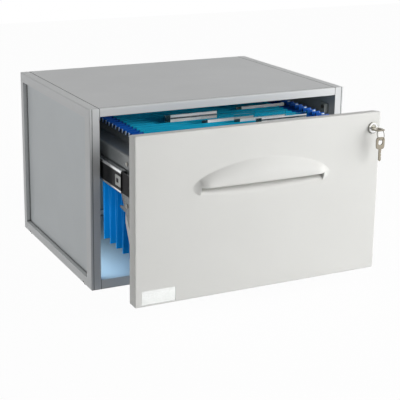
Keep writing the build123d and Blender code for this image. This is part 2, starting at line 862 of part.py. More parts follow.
with BuildPart() as label_cover:
    face = rectangle_on(
        Plane.XZ.offset(-(front_y + label_cover_sheet)),
        label_width - 2 * fit,
        label_height - 2 * fit,
        (label_x, label_z),
    )
    extrude(face, amount=label_cover_sheet)
write(label_cover.part, "label_cover")

# Lock housing in the drawer front, its rosette and the nut behind the skin
with BuildPart() as lock_housing:
    with BuildSketch(Plane.XZ.offset(-housing_end_y)):
        with Locations((lock_x, lock_z)):
            Circle(housing_radius)
            Circle(plug_radius + 2 * fit, mode=Mode.SUBTRACT)
    extrude(amount=housing_end_y - front_y + rosette_proud)
write(lock_housing.part, "lock_housing")

with BuildPart() as lock_rosette:
    with BuildSketch(Plane.XZ.offset(-front_y)):
        with Locations((lock_x, lock_z)):
            Circle(rosette_radius)
    extrude(amount=rosette_proud)
    fillet(lock_rosette.faces().sort_by(Axis.Y)[0].edges(), rosette_proud / 2)
    drill((lock_x, front_y - rosette_proud, lock_z), TO_BACK, housing_radius + fit / 2, 2 * rosette_proud)
write(lock_rosette.part, "lock_rosette")

with BuildPart() as lock_nut:
    with BuildSketch(Plane.XZ.offset(-(front_y + front_skin + nut_height))):
        with Locations((lock_x, lock_z)):
            RegularPolygon(nut_radius, 6)
            Circle(housing_radius + fit / 2, mode=Mode.SUBTRACT)
    extrude(amount=nut_height)
write(lock_nut.part, "lock_nut")

# Turning plug with its keyway and the tail that carries the cam
keyway_length = key_blade_length - key_stand_off + plug_proud + 2 * running_gap
with BuildPart() as lock_plug:
    plug_front = front_y - rosette_proud - plug_proud
    with BuildSketch(Plane.XZ.offset(-housing_end_y)):
        with Locations((lock_x, lock_z)):
            Circle(plug_radius)
    extrude(amount=housing_end_y - plug_front)
    with BuildSketch(Plane.XZ.offset(-(cam_y + cam_sheet))):
        with Locations((lock_x, lock_z)):
            Circle(tail_radius)
    extrude(amount=cam_y + cam_sheet - housing_end_y)
    with BuildSketch(Plane.XZ.offset(-plug_front)):
        with Locations((lock_x, lock_z)):
            Rectangle(key_blade_width + 2 * running_gap, key_sheet + 2 * running_gap)
    extrude(amount=-keyway_length, mode=Mode.SUBTRACT)
    drill((lock_x, cam_y + cam_sheet, lock_z), TO_FRONT, cam_screw_radius + fit / 2, cam_screw_grip)
write(lock_plug.part, "lock_plug")

with BuildPart() as lock_cam:
    with BuildSketch(Plane.XZ.offset(-(cam_y + cam_sheet))):
        with Locations((lock_x, lock_z)):
            Circle(cam_width / 2)
        with Locations((lock_x, lock_z - cam_reach / 2)):
            Rectangle(cam_width, cam_reach)
        with Locations((lock_x, lock_z)):
            Circle(tail_radius + fit / 2, mode=Mode.SUBTRACT)
    extrude(amount=cam_sheet)
write(lock_cam.part, "lock_cam")

with BuildPart() as cam_screw:
    drive((lock_x, cam_y + cam_sheet, lock_z), TO_FRONT, cam_screw_radius, cam_screw_grip - fit,
          cam_screw_head_radius, cam_screw_head)
write(cam_screw.part, "cam_screw")


def key_blank(plane):
    """Flat key on a plane: the bow's end lies at the plane's origin and the blade runs along its +Y."""
    blade_from = key_bow_length
    tip = blade_from + key_blade_length
    edge = key_blade_width / 2
    with BuildPart() as key:
        with BuildSketch(plane):
            with Locations((0, key_bow_length / 2)):
                RectangleRounded(key_bow_width, key_bow_length, key_bow_round)
            with BuildLine():
                Polyline(
                    (-edge, blade_from - key_bow_round),
                    (-edge, tip - edge),
                    (0, tip),
                    (edge, tip - edge),
                    (edge, blade_from - key_bow_round),
                    close=True,
                )
            make_face()
            with Locations((0, key_bridge + key_hole_radius)):
                Circle(key_hole_radius, mode=Mode.SUBTRACT)
            for i in range(bitting_count):
                with Locations((edge, tip - edge - bitting_pitch * (i + 0.5))):
                    Rectangle(2 * bitting_depth, bitting_pitch / 2, rotation=45, mode=Mode.SUBTRACT)
        extrude(amount=key_sheet)
    return key


# Key in the lock, the ring through its bow and the spare key that hangs from the ring
key_end = Plane(
    origin=(lock_x, ring_y - key_bridge / 2, lock_z - key_sheet / 2), x_dir=(1, 0, 0), z_dir=(0, 0, 1)
)
lock_key = key_blank(key_end)
write(lock_key.part, "lock_key")

with BuildPart() as key_ring:
    with Locations(Location((lock_x, ring_y, ring_z), TO_RIGHT)):
        Torus(ring_radius, ring_wire)
write(key_ring.part, "key_ring")

spare_end = Plane(origin=(lock_x, ring_y - key_sheet / 2, spare_top), x_dir=(1, 0, 0), z_dir=(0, 1, 0))
spare_key = key_blank(spare_end)
write(spare_key.part, "spare_key")

# Strike on the right side that the cam turns behind
with BuildPart() as lock_strike:
    leg = inner_x - lock_x - housing_radius - strike_clearance
    with Locations((inner_x, strike_y, lock_z)):
        Box(strike_sheet, strike_length, strike_height, align=(Align.MAX, Align.MIN, Align.CENTER))
        Box(leg, strike_sheet, strike_height, align=(Align.MAX, Align.MIN, Align.CENTER))
    for y in strike_screw_ys:
        drill((inner_x - strike_sheet, y, lock_z), TO_RIGHT, slide_screw_radius + fit, 2 * strike_sheet)
write(lock_strike.part, "lock_strike")

# Suspension files: folded card sheets on flat bars that hook over the rails
file_top = rail_top - file_below_rail
fold_z = floor_top + file_above_floor
file_depth = file_top - fold_z
file_ys = [drawer_front_y + file_first + file_pitch * i for i in range(file_count)]
file_half_length = rail_x - file_end_gap
bar_top = rail_top - bar_below_rail
for number, y in enumerate(file_ys, start=1):
    with BuildPart() as file_sheet_part:
        with BuildSketch(Plane.YZ.offset(-file_half_length)):
            with BuildLine():
                Line((y - file_half_mouth, file_top), (y - file_half_fold, fold_z))
                ThreePointArc(
                    (y - file_half_fold, fold_z),
                    (y, fold_z - file_half_fold),
                    (y + file_half_fold, fold_z),
                )
                Line((y + file_half_fold, fold_z), (y + file_half_mouth, file_top))
            trace(line_width=file_sheet)
        extrude(amount=2 * file_half_length)
    write(file_sheet_part.part, f"suspension_file_{number:02d}")

# Bars of the files, two to each, with a hook at both ends
bar_offset = file_half_mouth - (file_half_mouth - file_half_fold) * bar_height / file_depth - file_sheet
bar_ys = [front for y in file_ys for front in (y - bar_offset, y + bar_offset - bar_sheet)]
with BuildPart() as file_bars:
    for front_of_bar in bar_ys:
        with BuildSketch(Plane.XZ.offset(-front_of_bar)):
            with BuildLine():
                Polyline(
                    (0, bar_top - bar_height),
                    (rail_x - hook_root, bar_top - bar_height),
                    (rail_x - hook_root, rail_top + hook_rest),
                    (rail_x + hook_past - hook_nose, rail_top + hook_rest),
                    (rail_x + hook_past - hook_nose, rail_top + hook_height - hook_nose_drop),
                    (rail_x + hook_past, rail_top + hook_height - hook_nose_drop),
                    (rail_x + hook_past, rail_top + hook_height),
                    (rail_x - hook_neck, rail_top + hook_height),
                    (rail_x - hook_neck, bar_top),
                    (0, bar_top),
                    close=True,
                )
            make_face()
            mirror(about=Plane.YZ)
        extrude(amount=-bar_sheet)
write(file_bars.part, "file_bars")

# Clear tab holders clipped on one bar of each file, and the blank strips in them
with BuildPart() as file_tabs:
    for number, x in tabbed_bars.items():
        tab_front = bar_ys[number] + tab_sheet / 2
        with BuildSketch(Plane.YZ.offset(x - tab_length / 2)):
            with BuildLine():
                Polyline(
                    (tab_front, bar_top),
                    (tab_front, bar_top + tab_height - tab_sheet / 2),
                    (tab_front + tab_gap + tab_sheet, bar_top + tab_height - tab_sheet / 2),
                    (tab_front + tab_gap + tab_sheet, bar_top),
                )
            trace(line_width=tab_sheet)
        extrude(amount=tab_length)
write(file_tabs.part, "file_tabs")

with BuildPart() as file_tab_labels:
    for number, x in tabbed_bars.items():
        label_y = bar_ys[number] + tab_sheet + tab_gap / 2
        with Locations((x, label_y, bar_top)):
            Box(tab_length - 2 * tab_sheet, tab_label_sheet, tab_height - 2 * tab_sheet, align=FROM_TIP)
write(file_tab_labels.part, "file_tab_labels")
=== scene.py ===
"""Looks of a drawer module with hanging files: finishes, moulded front, files, lock and studio."""

import json
import logging
import math
from dataclasses import dataclass, field
from enum import Enum
from typing import Iterable, Sequence

import bmesh
import bpy
from mathutils import Euler, Matrix, Vector, noise


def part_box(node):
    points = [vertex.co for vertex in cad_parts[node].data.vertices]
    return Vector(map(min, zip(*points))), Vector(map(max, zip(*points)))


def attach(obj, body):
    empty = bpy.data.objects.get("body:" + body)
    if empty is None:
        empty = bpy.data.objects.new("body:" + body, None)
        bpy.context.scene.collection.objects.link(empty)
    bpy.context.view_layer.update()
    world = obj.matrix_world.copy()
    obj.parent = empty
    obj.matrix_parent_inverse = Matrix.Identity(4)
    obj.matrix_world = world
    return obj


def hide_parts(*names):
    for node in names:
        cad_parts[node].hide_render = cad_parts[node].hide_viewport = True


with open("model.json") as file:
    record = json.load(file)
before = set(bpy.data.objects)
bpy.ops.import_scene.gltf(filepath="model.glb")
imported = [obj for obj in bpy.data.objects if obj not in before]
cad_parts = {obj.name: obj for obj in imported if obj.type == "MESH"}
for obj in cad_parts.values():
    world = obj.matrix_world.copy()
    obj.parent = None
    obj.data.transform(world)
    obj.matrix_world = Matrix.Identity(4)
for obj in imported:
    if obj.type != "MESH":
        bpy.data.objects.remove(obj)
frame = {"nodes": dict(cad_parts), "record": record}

Colour = tuple[float, float, float]
Point = tuple[float, float, float]
Flat = tuple[float, float]
Socket = bpy.types.NodeSocket
log = logging.getLogger("drawer_module")


class Axis(Enum):
    """Direction in which a finish is drawn out, as the scale of its grain along x, y and z."""

    NONE = (1.0, 1.0, 1.0)
    ALONG_X = (0.02, 1.0, 1.0)
    ALONG_Y = (1.0, 0.02, 1.0)
    ALONG_Z = (1.0, 1.0, 0.04)


class ShaderTree:
    """Node tree of one material or sky, with the links that the finishes share."""

    RIM_TURN = (0.86, 0.995)
    SHADED_VIEW = (0.5, 0.96)

    def __init__(self, owner: bpy.types.Material | bpy.types.World) -> None:
        """Opens the nodes of a material or a sky.

        Args:
            owner: the material or sky.
        """
        owner.use_nodes = True
        self.nodes = owner.node_tree.nodes
        self.links = owner.node_tree.links
        self.shader = self.nodes.get("Principled BSDF") or self.nodes["Background"]

    def fill(self, socket: Socket, value: object) -> None:
        """Links an input to a socket, or sets it to a plain value.

        Args:
            socket: the input.
            value: socket that it is linked to, or its value.
        """
        if isinstance(value, Socket):
            self.links.new(value, socket)
        else:
            socket.default_value = value

    def add(
        self, kind: str, inputs: dict[str | int, object] | None = None, **settings: object
    ) -> bpy.types.Node:
        """Adds a node, sets its plain properties and fills its inputs.

        Args:
            kind: Blender's name of the node type, without the prefix that all share.
            inputs: values or sockets for the inputs, by name or number.
            settings: properties of the node and their values.

        Returns:
            The new node.
        """
        node = self.nodes.new(f"ShaderNode{kind}")
        for key, value in settings.items():
            setattr(node, key, value)
        for key, value in (inputs or {}).items():
            self.fill(node.inputs[key], value)
        return node

    def shade(self, **values: object) -> None:
        """Fills inputs of the shader; an underscore in a name stands for a space."""
        for name, value in values.items():
            self.fill(self.shader.inputs[name.replace("_", " ")], value)

    def base(self) -> Socket:
        """Returns the colour that the shader has so far."""
        return self.shader.inputs["Base Color"].links[0].from_socket

    def grain(self, size: float, detail: float = 2.0, drawn: Axis = Axis.NONE) -> Socket:
        """Makes noise in the object's own coordinates.

        Args:
            size: width of one feature in metres.
            detail: number of finer layers.
            drawn: direction in which the features are drawn out.

        Returns:
            Socket with values about 0.5.
        """
        where = self.add("TexCoord").outputs["Object"]
        scale = self.add("Mapping", {"Vector": where, "Scale": drawn.value}).outputs["Vector"]
        cloud = self.add("TexNoise", {"Vector": scale, "Scale": 1 / size, "Detail": detail})
        return cloud.outputs["Fac"]

    def distance(self, axis: str, middle: float) -> Socket:
        """Measures how far each point lies from a plane.

        Args:
            axis: X, Y or Z, which the plane lies across.
            middle: where the plane stands along it in metres.

        Returns:
            Socket with the distance in metres.
        """
        where = self.add("TexCoord").outputs["Object"]
        along = self.add("SeparateXYZ", {"Vector": where}).outputs[axis]
        offset = self.add("Math", {0: along, 1: middle}, operation="SUBTRACT").outputs["Value"]
        return self.add("Math", {0: offset}, operation="ABSOLUTE").outputs["Value"]

    def spread(
        self, source: Socket, low: float, high: float, start: float = 0.3, end: float = 0.7
    ) -> Socket:
        """Returns a value mapped from the span of start and end to that of low and high, and clamped."""
        spans = {"From Min": start, "From Max": end, "To Min": low, "To Max": high}
        return self.add("MapRange", {"Value": source, **spans}).outputs["Result"]

    def above(self, source: Socket, limit: float, blend: float) -> Socket:
        """Returns a socket that is 1 above a limit and 0 below it, with a soft change between."""
        return self.spread(source, 0.0, 1.0, limit - blend, limit + blend)

    def tint(self, factor: Socket, first: Colour | Socket, second: Colour | Socket) -> Socket:
        """Mixes two colours.

        Args:
            factor: share of the second colour.
            first: colour, or socket, at factor 0.
            second: colour, or socket, at factor 1.

        Returns:
            Socket with the mixed colour.
        """
        mix = self.add("Mix", {"Factor": factor}, data_type="RGBA")
        colour_inputs = [socket for socket in mix.inputs if socket.type == "RGBA"]
        for socket, colour in zip(colour_inputs, (first, second)):
            self.fill(socket, (*colour, 1.0) if isinstance(colour, tuple) else colour)
        return next(socket for socket in mix.outputs if socket.type == "RGBA")

    def vary(self, source: Socket, colour: Colour, share: float) -> Socket:
        """Returns a colour that drifts by a share to either side as a value goes up and down."""
        ends = (scaled(colour, 1 - share), scaled(colour, 1 + share))
        return self.tint(self.spread(source, 0.0, 1.0), *ends)

    def mottled(self, colour: Colour, size: float, share: float) -> Socket:
        """Returns a colour that drifts by a share in soft clouds of a size in metres."""
        return self.vary(self.grain(size, detail=4.0), colour, share)

    def emboss(self, height: Socket, depth: float) -> None:
        """Gives the surface a relief of the given depth in metres."""
        relief = self.add("Bump", {"Strength": 1.0, "Distance": depth, "Height": height})
        self.shade(Normal=relief.outputs["Normal"])

    def edges(self, radius: float) -> Socket:
        """Finds rims, which take wear and painted light.

        Args:
            radius: width of the rim in metres.

        Returns:
            Socket that is 1 on a rim and 0 on a flat.
        """
        soft = self.add("Bevel", {"Radius": radius}, samples=4).outputs["Normal"]
        plain = self.add("NewGeometry").outputs["Normal"]
        turn = self.add("VectorMath", {0: soft, 1: plain}, operation="DOT_PRODUCT")
        return self.spread(turn.outputs["Value"], 1.0, 0.0, *self.RIM_TURN)

    def crevices(self, reach: float) -> Socket:
        """Returns a socket for painted shade: 1 deep in a seam, with walls up to reach metres apart, and 0
        outside.
        """
        shade = self.add("AmbientOcclusion", {"Distance": reach}, samples=8)
        return self.spread(shade.outputs["AO"], 1.0, 0.0, *self.SHADED_VIEW)


def scaled(colour: Colour, share: float) -> Colour:
    """Returns the colour made lighter or darker by a share."""
    return tuple(min(1.0, part * share) for part in colour)


@dataclass(frozen=True)
class Finish:
    """Look of one material slot of the record."""

    slot: str
    colour: Colour
    roughness: float

    def make(self) -> bpy.types.Material:
        """Builds the finish as a material of its own.

        Returns:
            The new material.
        """
        material = bpy.data.materials.new(self.slot)
        self.paint(ShaderTree(material))
        return material

    def paint(self, tree: ShaderTree) -> None:
        """Lays the finish into a node tree."""
        raise NotImplementedError


@dataclass(frozen=True)
class GrainedCoat(Finish):
    """Powder coat or moulded plastic: fine grain, a slight drift of colour, rims scaled as wear and painted
    light, and painted shade in seams.
    """

    drift: float = 0.03
    cloud: float = 0.12
    grain_size: float = 0.0006
    grain_depth: float = 0.00004
    rim: float = 0.0012
    rim_lift: float = 1.08
    gloss: float = 0.5
    crevice: float = 0.004
    crevice_shade: float = 0.2
    play: float = 0.06

    def paint(self, tree: ShaderTree) -> None:
        """Lays colour, rims with wear and painted light, painted shade in seams, roughness and grain into a
        node tree.

        Args:
            tree: node tree of the material.
        """
        body = tree.mottled(self.colour, self.cloud, self.drift)
        # Rims scaled by rim_lift: wear plus a painted highlight when above 1, a painted shade when below 1.
        rim_wear_and_light = tree.tint(tree.edges(self.rim), body, scaled(self.colour, self.rim_lift))
        # Painted shade: seams, grooves and inner corners darken towards this share of the colour.
        painted_seam_shade = scaled(self.colour, self.crevice_shade)
        fine = tree.grain(self.grain_size)
        tree.shade(
            Base_Color=tree.tint(tree.crevices(self.crevice), rim_wear_and_light, painted_seam_shade),
            Roughness=tree.spread(fine, self.roughness - self.play, self.roughness + self.play),
            Specular_IOR_Level=self.gloss,
        )
        tree.emboss(fine, self.grain_depth)


@dataclass(frozen=True)
class JointedCoat(GrainedCoat):
    """Coat of a panel whose two ends, where they meet the side frames, take a painted shade line along the
    joint.
    """

    joint: float = 0.2190
    blend: float = 0.0003

    def paint(self, tree: ShaderTree) -> None:
        """Lays the coat into a node tree and paints a shade line on the panel's ends.

        Args:
            tree: node tree of the material.
        """
        super().paint(tree)
        # Painted shade: a thin dark band where the panel meets the side frames.
        ends = tree.above(tree.distance("X", 0.0), self.joint, self.blend)
        tree.shade(Base_Color=tree.tint(ends, tree.base(), scaled(self.colour, self.crevice_shade)))


@dataclass(frozen=True)
class PlatedMetal(Finish):
    """Plated or polished metal with drawn streaks and duller patches."""

    drawn: Axis = Axis.ALONG_Y
    streak: float = 0.0008
    streak_depth: float = 0.000004
    patch: float = 0.02
    contrast: float = 0.12
    dull: float = 0.82
    dull_share: float = 0.35
    smoother: float = 0.05
    rougher: float = 0.08

    def paint(self, tree: ShaderTree) -> None:
        """Lays colour, patches, roughness and streaks into a node tree.

        Args:
            tree: node tree of the material.
        """
        streaks = tree.grain(self.streak, detail=3.0, drawn=self.drawn)
        patches = tree.grain(self.patch, detail=4.0)
        bright = tree.vary(streaks, self.colour, self.contrast)
        dull = scaled(self.colour, self.dull)
        tree.shade(
            Metallic=1.0,
            Base_Color=tree.tint(tree.spread(patches, 0.0, self.dull_share), bright, dull),
            Roughness=tree.spread(patches, self.roughness - self.smoother, self.roughness + self.rougher),
        )
        tree.emboss(streaks, self.streak_depth)


@dataclass(frozen=True)
class RunnerSteel(PlatedMetal):
    """Channel of a ball runner: bright shoulders, with painted shade on the web between them."""

    web_half: float = 0.01
    web_shade_colour: Colour = (0.008, 0.009, 0.01)
    web_gloss: float = 0.05
    blend: float = 0.0006

    def paint(self, tree: ShaderTree) -> None:
        """Lays bright metal into a node tree and paints shade on the web.

        Args:
            tree: node tree of the material.
        """
        super().paint(tree)
        middle = sum(corner.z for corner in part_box("left_slide_inner")) / 2
        # Painted shade: the web between the shoulders is dark and barely glossy.
        shoulder = tree.above(tree.distance("Z", middle), self.web_half, self.blend)
        tree.shade(
            Base_Color=tree.tint(shoulder, self.web_shade_colour, tree.base()),
            Metallic=shoulder,
            Specular_IOR_Level=self.web_gloss,
        )


@dataclass(frozen=True)
class FibreCard(Finish):
    """Card or paper: short fibres, clouds in the dye, and rims in their own tint: a painted highlight with
    worn dye on the blue card, a painted shade on the paper.
    """

    drift: float = 0.08
    cloud: float = 0.07
    fibre: float = 0.0009
    fibre_depth: float = 0.00005
    fleck: float = 1.25
    fleck_share: float = 0.3
    fleck_span: Flat = (0.5, 0.8)
    rim_tint: Colour = (0.12, 0.50, 0.85)
    rim: float = 0.0006
    gloss: float = 0.3
    play: float = 0.08

    def dye(self, tree: ShaderTree) -> Socket:
        """Returns the colour of the card before it is handled."""
        return tree.mottled(self.colour, self.cloud, self.drift)

    def paint(self, tree: ShaderTree) -> None:
        """Lays dye, fibres and rims with painted light into a node tree.

        Args:
            tree: node tree of the material.
        """
        fibres = tree.grain(self.fibre, detail=3.0, drawn=Axis.ALONG_Z)
        flecks = tree.spread(fibres, 0.0, self.fleck_share, *self.fleck_span)
        flecked = tree.tint(flecks, self.dye(tree), scaled(self.colour, self.fleck))
        # Rims take rim_tint: painted highlight and wear on the blue card, painted shade on the paper.
        tree.shade(
            Base_Color=tree.tint(tree.edges(self.rim), flecked, self.rim_tint),
            Roughness=tree.spread(fibres, self.roughness - self.play, self.roughness + self.play),
            Specular_IOR_Level=self.gloss,
        )
        tree.emboss(fibres, self.fibre_depth)


@dataclass(frozen=True)
class BandedCard(FibreCard):
    """Card with a band of another colour: on a file, the greener hem made lighter as painted light on the
    lit tops; on a strip, a dark line of painted shade.
    """

    # The file's band: its greener hem tint, lightened as painted light on the lit tops.
    band_colour: Colour = (0.01, 0.50, 0.76)
    band_middle: float = 0.27
    band_half: float = 0.034
    blend: float = 0.010

    def dye(self, tree: ShaderTree) -> Socket:
        """Mixes the colours of the card and of its band.

        Args:
            tree: node tree of the material.

        Returns:
            Socket with the colour of the card before it is handled.
        """
        plain = super().dye(tree)
        band = tree.mottled(self.band_colour, self.cloud, self.drift)
        outside = tree.above(tree.distance("Z", self.band_middle), self.band_half, self.blend)
        return tree.tint(outside, band, plain)


@dataclass(frozen=True)
class ClearSheet(Finish):
    """Clear plastic with faint flow marks and fine scratches."""

    flow: float = 0.008
    flow_depth: float = 0.00001
    dull: float = 0.95
    play: float = 0.5
    bending: float = 1.15

    def paint(self, tree: ShaderTree) -> None:
        """Lays a see-through sheet with faint marks into a node tree.

        Args:
            tree: node tree of the material.
        """
        flow = tree.grain(self.flow, drawn=Axis.ALONG_X)
        dull = scaled(self.colour, self.dull)
        span = (self.roughness * (1 - self.play), self.roughness * (1 + self.play))
        tree.shade(
            Base_Color=tree.tint(tree.spread(flow, 0.0, 1.0), dull, self.colour),
            Roughness=tree.spread(flow, *span),
            Transmission_Weight=1.0,
            IOR=self.bending,
        )
        tree.emboss(flow, self.flow_depth)


CASE_GREY: Colour = (0.705, 0.718, 0.722)
CASE_ROUGHNESS = 0.42
BRIGHT_STEEL: Colour = (0.80, 0.81, 0.82)
STEEL_ROUGHNESS = 0.2
# Darker rims of paper: painted shade.
PAPER_RIM_SHADE: Colour = (0.7, 0.7, 0.68)

# Slot, colour and roughness of each finish, and what sets it apart from others of its kind
FINISHES: tuple[Finish, ...] = (
    # Case: rims a little lighter as painted highlight and wear, and painted shade in seams and corners.
    GrainedCoat("case_grey", CASE_GREY, CASE_ROUGHNESS),
    GrainedCoat("side_board_grey", (0.68, 0.715, 0.73), 0.5, grain_size=0.0009, grain_depth=0.00006),
    GrainedCoat("back_grey", (0.45, 0.46, 0.46), 0.5),
    GrainedCoat("foot_rubber", (0.03, 0.03, 0.032), 0.7, drift=0.12, gloss=0.3),
    # Bumper: rims lifted to twice its colour, a painted highlight and wear.
    GrainedCoat("bumper_black", (0.008, 0.008, 0.009), 0.5, drift=0.1, rim_lift=2.0, gloss=0.08),
    GrainedCoat("drawer_sheet", (0.16, 0.175, 0.18), 0.25, grain_depth=0.000008, gloss=1.0),
    GrainedCoat("bracket_beige", (0.72, 0.72, 0.70), 0.4),
    # Front: rims a little darker as painted shade, and a faint painted shade in its creases.
    GrainedCoat(
        "front_white", (0.75, 0.75, 0.725), 0.4, drift=0.012, rim_lift=0.95, crevice_shade=0.85, gloss=0.2
    ),
    GrainedCoat("cover_grey", (0.45, 0.45, 0.44), 0.5),
    # Bars: rims lifted by 1.6, a painted highlight and wear.
    GrainedCoat("file_bar", (0.003, 0.10, 0.48), 0.4, drift=0.1, rim_lift=1.6, gloss=0.2),
    PlatedMetal("screw_steel", (0.42, 0.41, 0.38), 0.32, drawn=Axis.NONE),
    PlatedMetal("runner_steel", BRIGHT_STEEL, STEEL_ROUGHNESS),
    PlatedMetal("ball_steel", (0.85, 0.85, 0.86), 0.12, drawn=Axis.NONE),
    PlatedMetal("lock_chrome", (0.29, 0.29, 0.26), 0.3, drawn=Axis.NONE, contrast=0.05),
    PlatedMetal("lock_zinc", (0.55, 0.55, 0.56), 0.35, drawn=Axis.NONE),
    PlatedMetal("key_nickel", (0.25, 0.225, 0.18), 0.3, contrast=0.1),
    # File card: a lighter top band and lighter rims, partly painted light on the lit tops and edges.
    BandedCard("file_card", (0.003, 0.25, 0.56), 0.5, gloss=0.08),
    FibreCard("label_paper", (0.92, 0.92, 0.90), 0.6, drift=0.02, rim_tint=PAPER_RIM_SHADE),
    ClearSheet("clear_plastic", (0.96, 0.97, 0.97), 0.08),
)

# Finishes of single pieces that look unlike the rest of their slot
# Top and bottom panels with a painted shade line along their joints.
JOINTED_CASE = JointedCoat("case_grey", CASE_GREY, CASE_ROUGHNESS)
# Strike in a pale matte coat instead of steel: painted brightness in place of the steel's reflection.
STRIKE_STEEL = GrainedCoat("runner_steel", (0.72, 0.76, 0.74), 0.3)
CLIP_STEEL = PlatedMetal("runner_steel", (0.30, 0.31, 0.30), 0.35)
# Hook tips: white plastic made paler and bluer as painted highlight.
LIT_TIP_PLASTIC = GrainedCoat("front_white", (0.66, 0.80, 0.90), 0.4)
# Dark teal sheet where a clear holder shows the dark inside: painted shade.
STRIP_END_SHADE = GrainedCoat("bumper_black", (0.03, 0.15, 0.19), 0.3, drift=0.3)
RING_WIRE = PlatedMetal("key_nickel", (0.15, 0.14, 0.12), 0.35)
# Tab strip with a thin dark line of painted shade along its middle.
SHADE_LINED_STRIP = BandedCard(
    "label_paper",
    (0.86, 0.86, 0.84),
    0.6,
    drift=0.02,
    rim_tint=PAPER_RIM_SHADE,
    band_colour=(0.03, 0.05, 0.06),
    band_middle=0.2687,
    band_half=0.0013,
    blend=0.0004,
)


class Wardrobe:
    """Materials by slot, and the slot of each CAD node."""

    def __init__(self, finishes: Iterable[Finish]) -> None:
        """Makes one material for each finish."""
        self.materials = {finish.slot: finish.make() for finish in finishes}
        self.slots = {piece["node"]: piece["material_slot"] for piece in frame["record"]["subparts"]}

    def wear(self, piece: bpy.types.Object, material: bpy.types.Material) -> None:
        """Puts one material on all of a piece.

        Args:
            piece: the piece.
            material: the material.
        """
        if not piece.data.materials:
            piece.data.materials.append(None)
        for place in piece.material_slots:
            place.link = "OBJECT"
            place.material = material

    def dress_nodes(self, names: Iterable[str]) -> None:
        """Gives CAD nodes the materials that the record names for them.

        Args:
            names: names of the nodes.
        """
        for name in names:
            self.wear(frame["nodes"][name], self.materials[self.slots[name]])
            log.info("dressed %s in %s", name, self.slots[name])

    def place(
        self,
        piece: bpy.types.Object,
        slot: str,
        body: str,
        stands_for: Sequence[str] = (),
        finish: Finish | None = None,
    ) -> None:
        """Dresses a new piece and joins it to the frame.

        Args:
            piece: the new piece.
            slot: material slot of the piece.
            body: CAD body that it moves with.
            stands_for: CAD nodes that it replaces.
            finish: look of the piece, where it isn't that of its slot.
        """
        self.wear(piece, finish.make() if finish else self.materials[slot])
        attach(piece, body)
        if stands_for:
            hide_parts(*stands_for)
        log.info("built %s on %s", piece.name, body)


def steps(first: float, last: float, count: int) -> list[float]:
    """Returns evenly spaced numbers, both ends included."""
    return [first + (last - first) * i / (count - 1) for i in range(count)]


def turns(count: int, shift: float = 0.0) -> list[float]:
    """Returns angles spaced evenly round a circle and shifted by a share of one step."""
    return [math.tau * (i + shift) / count for i in range(count)]


def past(x: float, start: float, end: float) -> float:
    """Returns how far x lies, to either side, on the way from a start to an end, from 0 to 1."""
    return min(1.0, max(0.0, abs(x) - start) / (end - start))


def set_up(name: str, data: bpy.types.ID) -> bpy.types.Object:
    """Makes an object and links it to the scene.

    Args:
        name: name of the object.
        data: its mesh, light or camera.

    Returns:
        The new object.
    """
    thing = bpy.data.objects.new(name, data)
    bpy.context.scene.collection.objects.link(thing)
    return thing


class MeshDraft:
    """Faces collected by their corner points; equal points are shared."""

    GRID = 1e-7

    def __init__(self) -> None:
        """Starts with no points and no faces."""
        self.points: list[Point] = []
        self.faces: list[list[int]] = []
        self.index: dict[tuple[int, ...], int] = {}

    def number(self, at: Point) -> int:
        """Counts a point, unless it is known.

        Args:
            at: the point.

        Returns:
            The number of the point.
        """
        key = tuple(round(part / self.GRID) for part in at)
        if key not in self.index:
            self.index[key] = len(self.points)
            self.points.append(at)
        return self.index[key]

    def face(self, corners: Sequence[Point]) -> None:
        """Adds a face and leaves out corners that fall together.

        Args:
            corners: corner points in order.
        """
        numbers = list(dict.fromkeys(self.number(corner) for corner in corners))
        if len(numbers) > 2:
            self.faces.append(numbers)

    def skin(self, rows: Sequence[Sequence[Point]], closed: bool = False) -> None:
        """Adds the faces between rows of points.

        Args:
            rows: rows of points, all of one length.
            closed: whether each row runs back to its first point.
        """
        for row, following in zip(rows, rows[1:]):
            last = len(row) if closed else len(row) - 1
            for i in range(last):
                j = (i + 1) % len(row)
                self.face((row[i], row[j], following[j], following[i]))

    def block(self, rows: Sequence[Sequence[Point]]) -> None:
        """Adds a closed form through outlines, with its two ends.

        Args:
            rows: outlines, all with one number of points.
        """
        self.skin(rows, closed=True)
        self.face(rows[0])
        self.face(rows[-1])

    def make(self, name: str, crease: float = 35.0, solid: float = 0.0) -> bpy.types.Object:
        """Turns the draft into an object.

        Args:
            name: name of the object.
            crease: angle in degrees above which an edge stays sharp.
            solid: thickness in metres to give an open sheet, or 0 for a closed form.

        Returns:
            The new object, linked to the scene.
        """
        mesh = bpy.data.meshes.new(name)
        mesh.from_pydata(self.points, [], self.faces)
        form = bmesh.new()
        form.from_mesh(mesh)
        bmesh.ops.recalc_face_normals(form, faces=form.faces)
        if solid:
            bmesh.ops.solidify(form, geom=form.faces[:], thickness=solid)
            bmesh.ops.recalc_face_normals(form, faces=form.faces)
        form.to_mesh(mesh)
        form.free()
        mesh.polygons.foreach_set("use_smooth", [True] * len(mesh.polygons))
        mesh.set_sharp_from_angle(angle=math.radians(crease))
        return set_up(name, mesh)


@dataclass
class Cabinet:
    """Case: two framed sides with boards set in, top, bottom, back, feet and screws."""

    frames: tuple[str, ...] = ("left_side_frame", "right_side_frame")
    boards: tuple[str, ...] = ("left_side_panel", "right_side_panel")
    jointed: tuple[str, ...] = ("top_panel", "bottom_panel")
    others: tuple[str, ...] = ("back_panel", "case_feet", "case_screws")

    def build(self, wardrobe: Wardrobe) -> None:
        """Dresses the case, with painted shade along the joints in its top and bottom and a strike in a
        pale matte coat that paints in the brightness of a reflection.

        Args:
            wardrobe: the materials.
        """
        wardrobe.dress_nodes(self.frames + self.boards + self.others)
        for names, finish in ((self.jointed, JOINTED_CASE), (("lock_strike",), STRIKE_STEEL)):
            material = finish.make()
            for name in names:
                wardrobe.wear(frame["nodes"][name], material)
                log.info("dressed %s in a finish of its own", name)


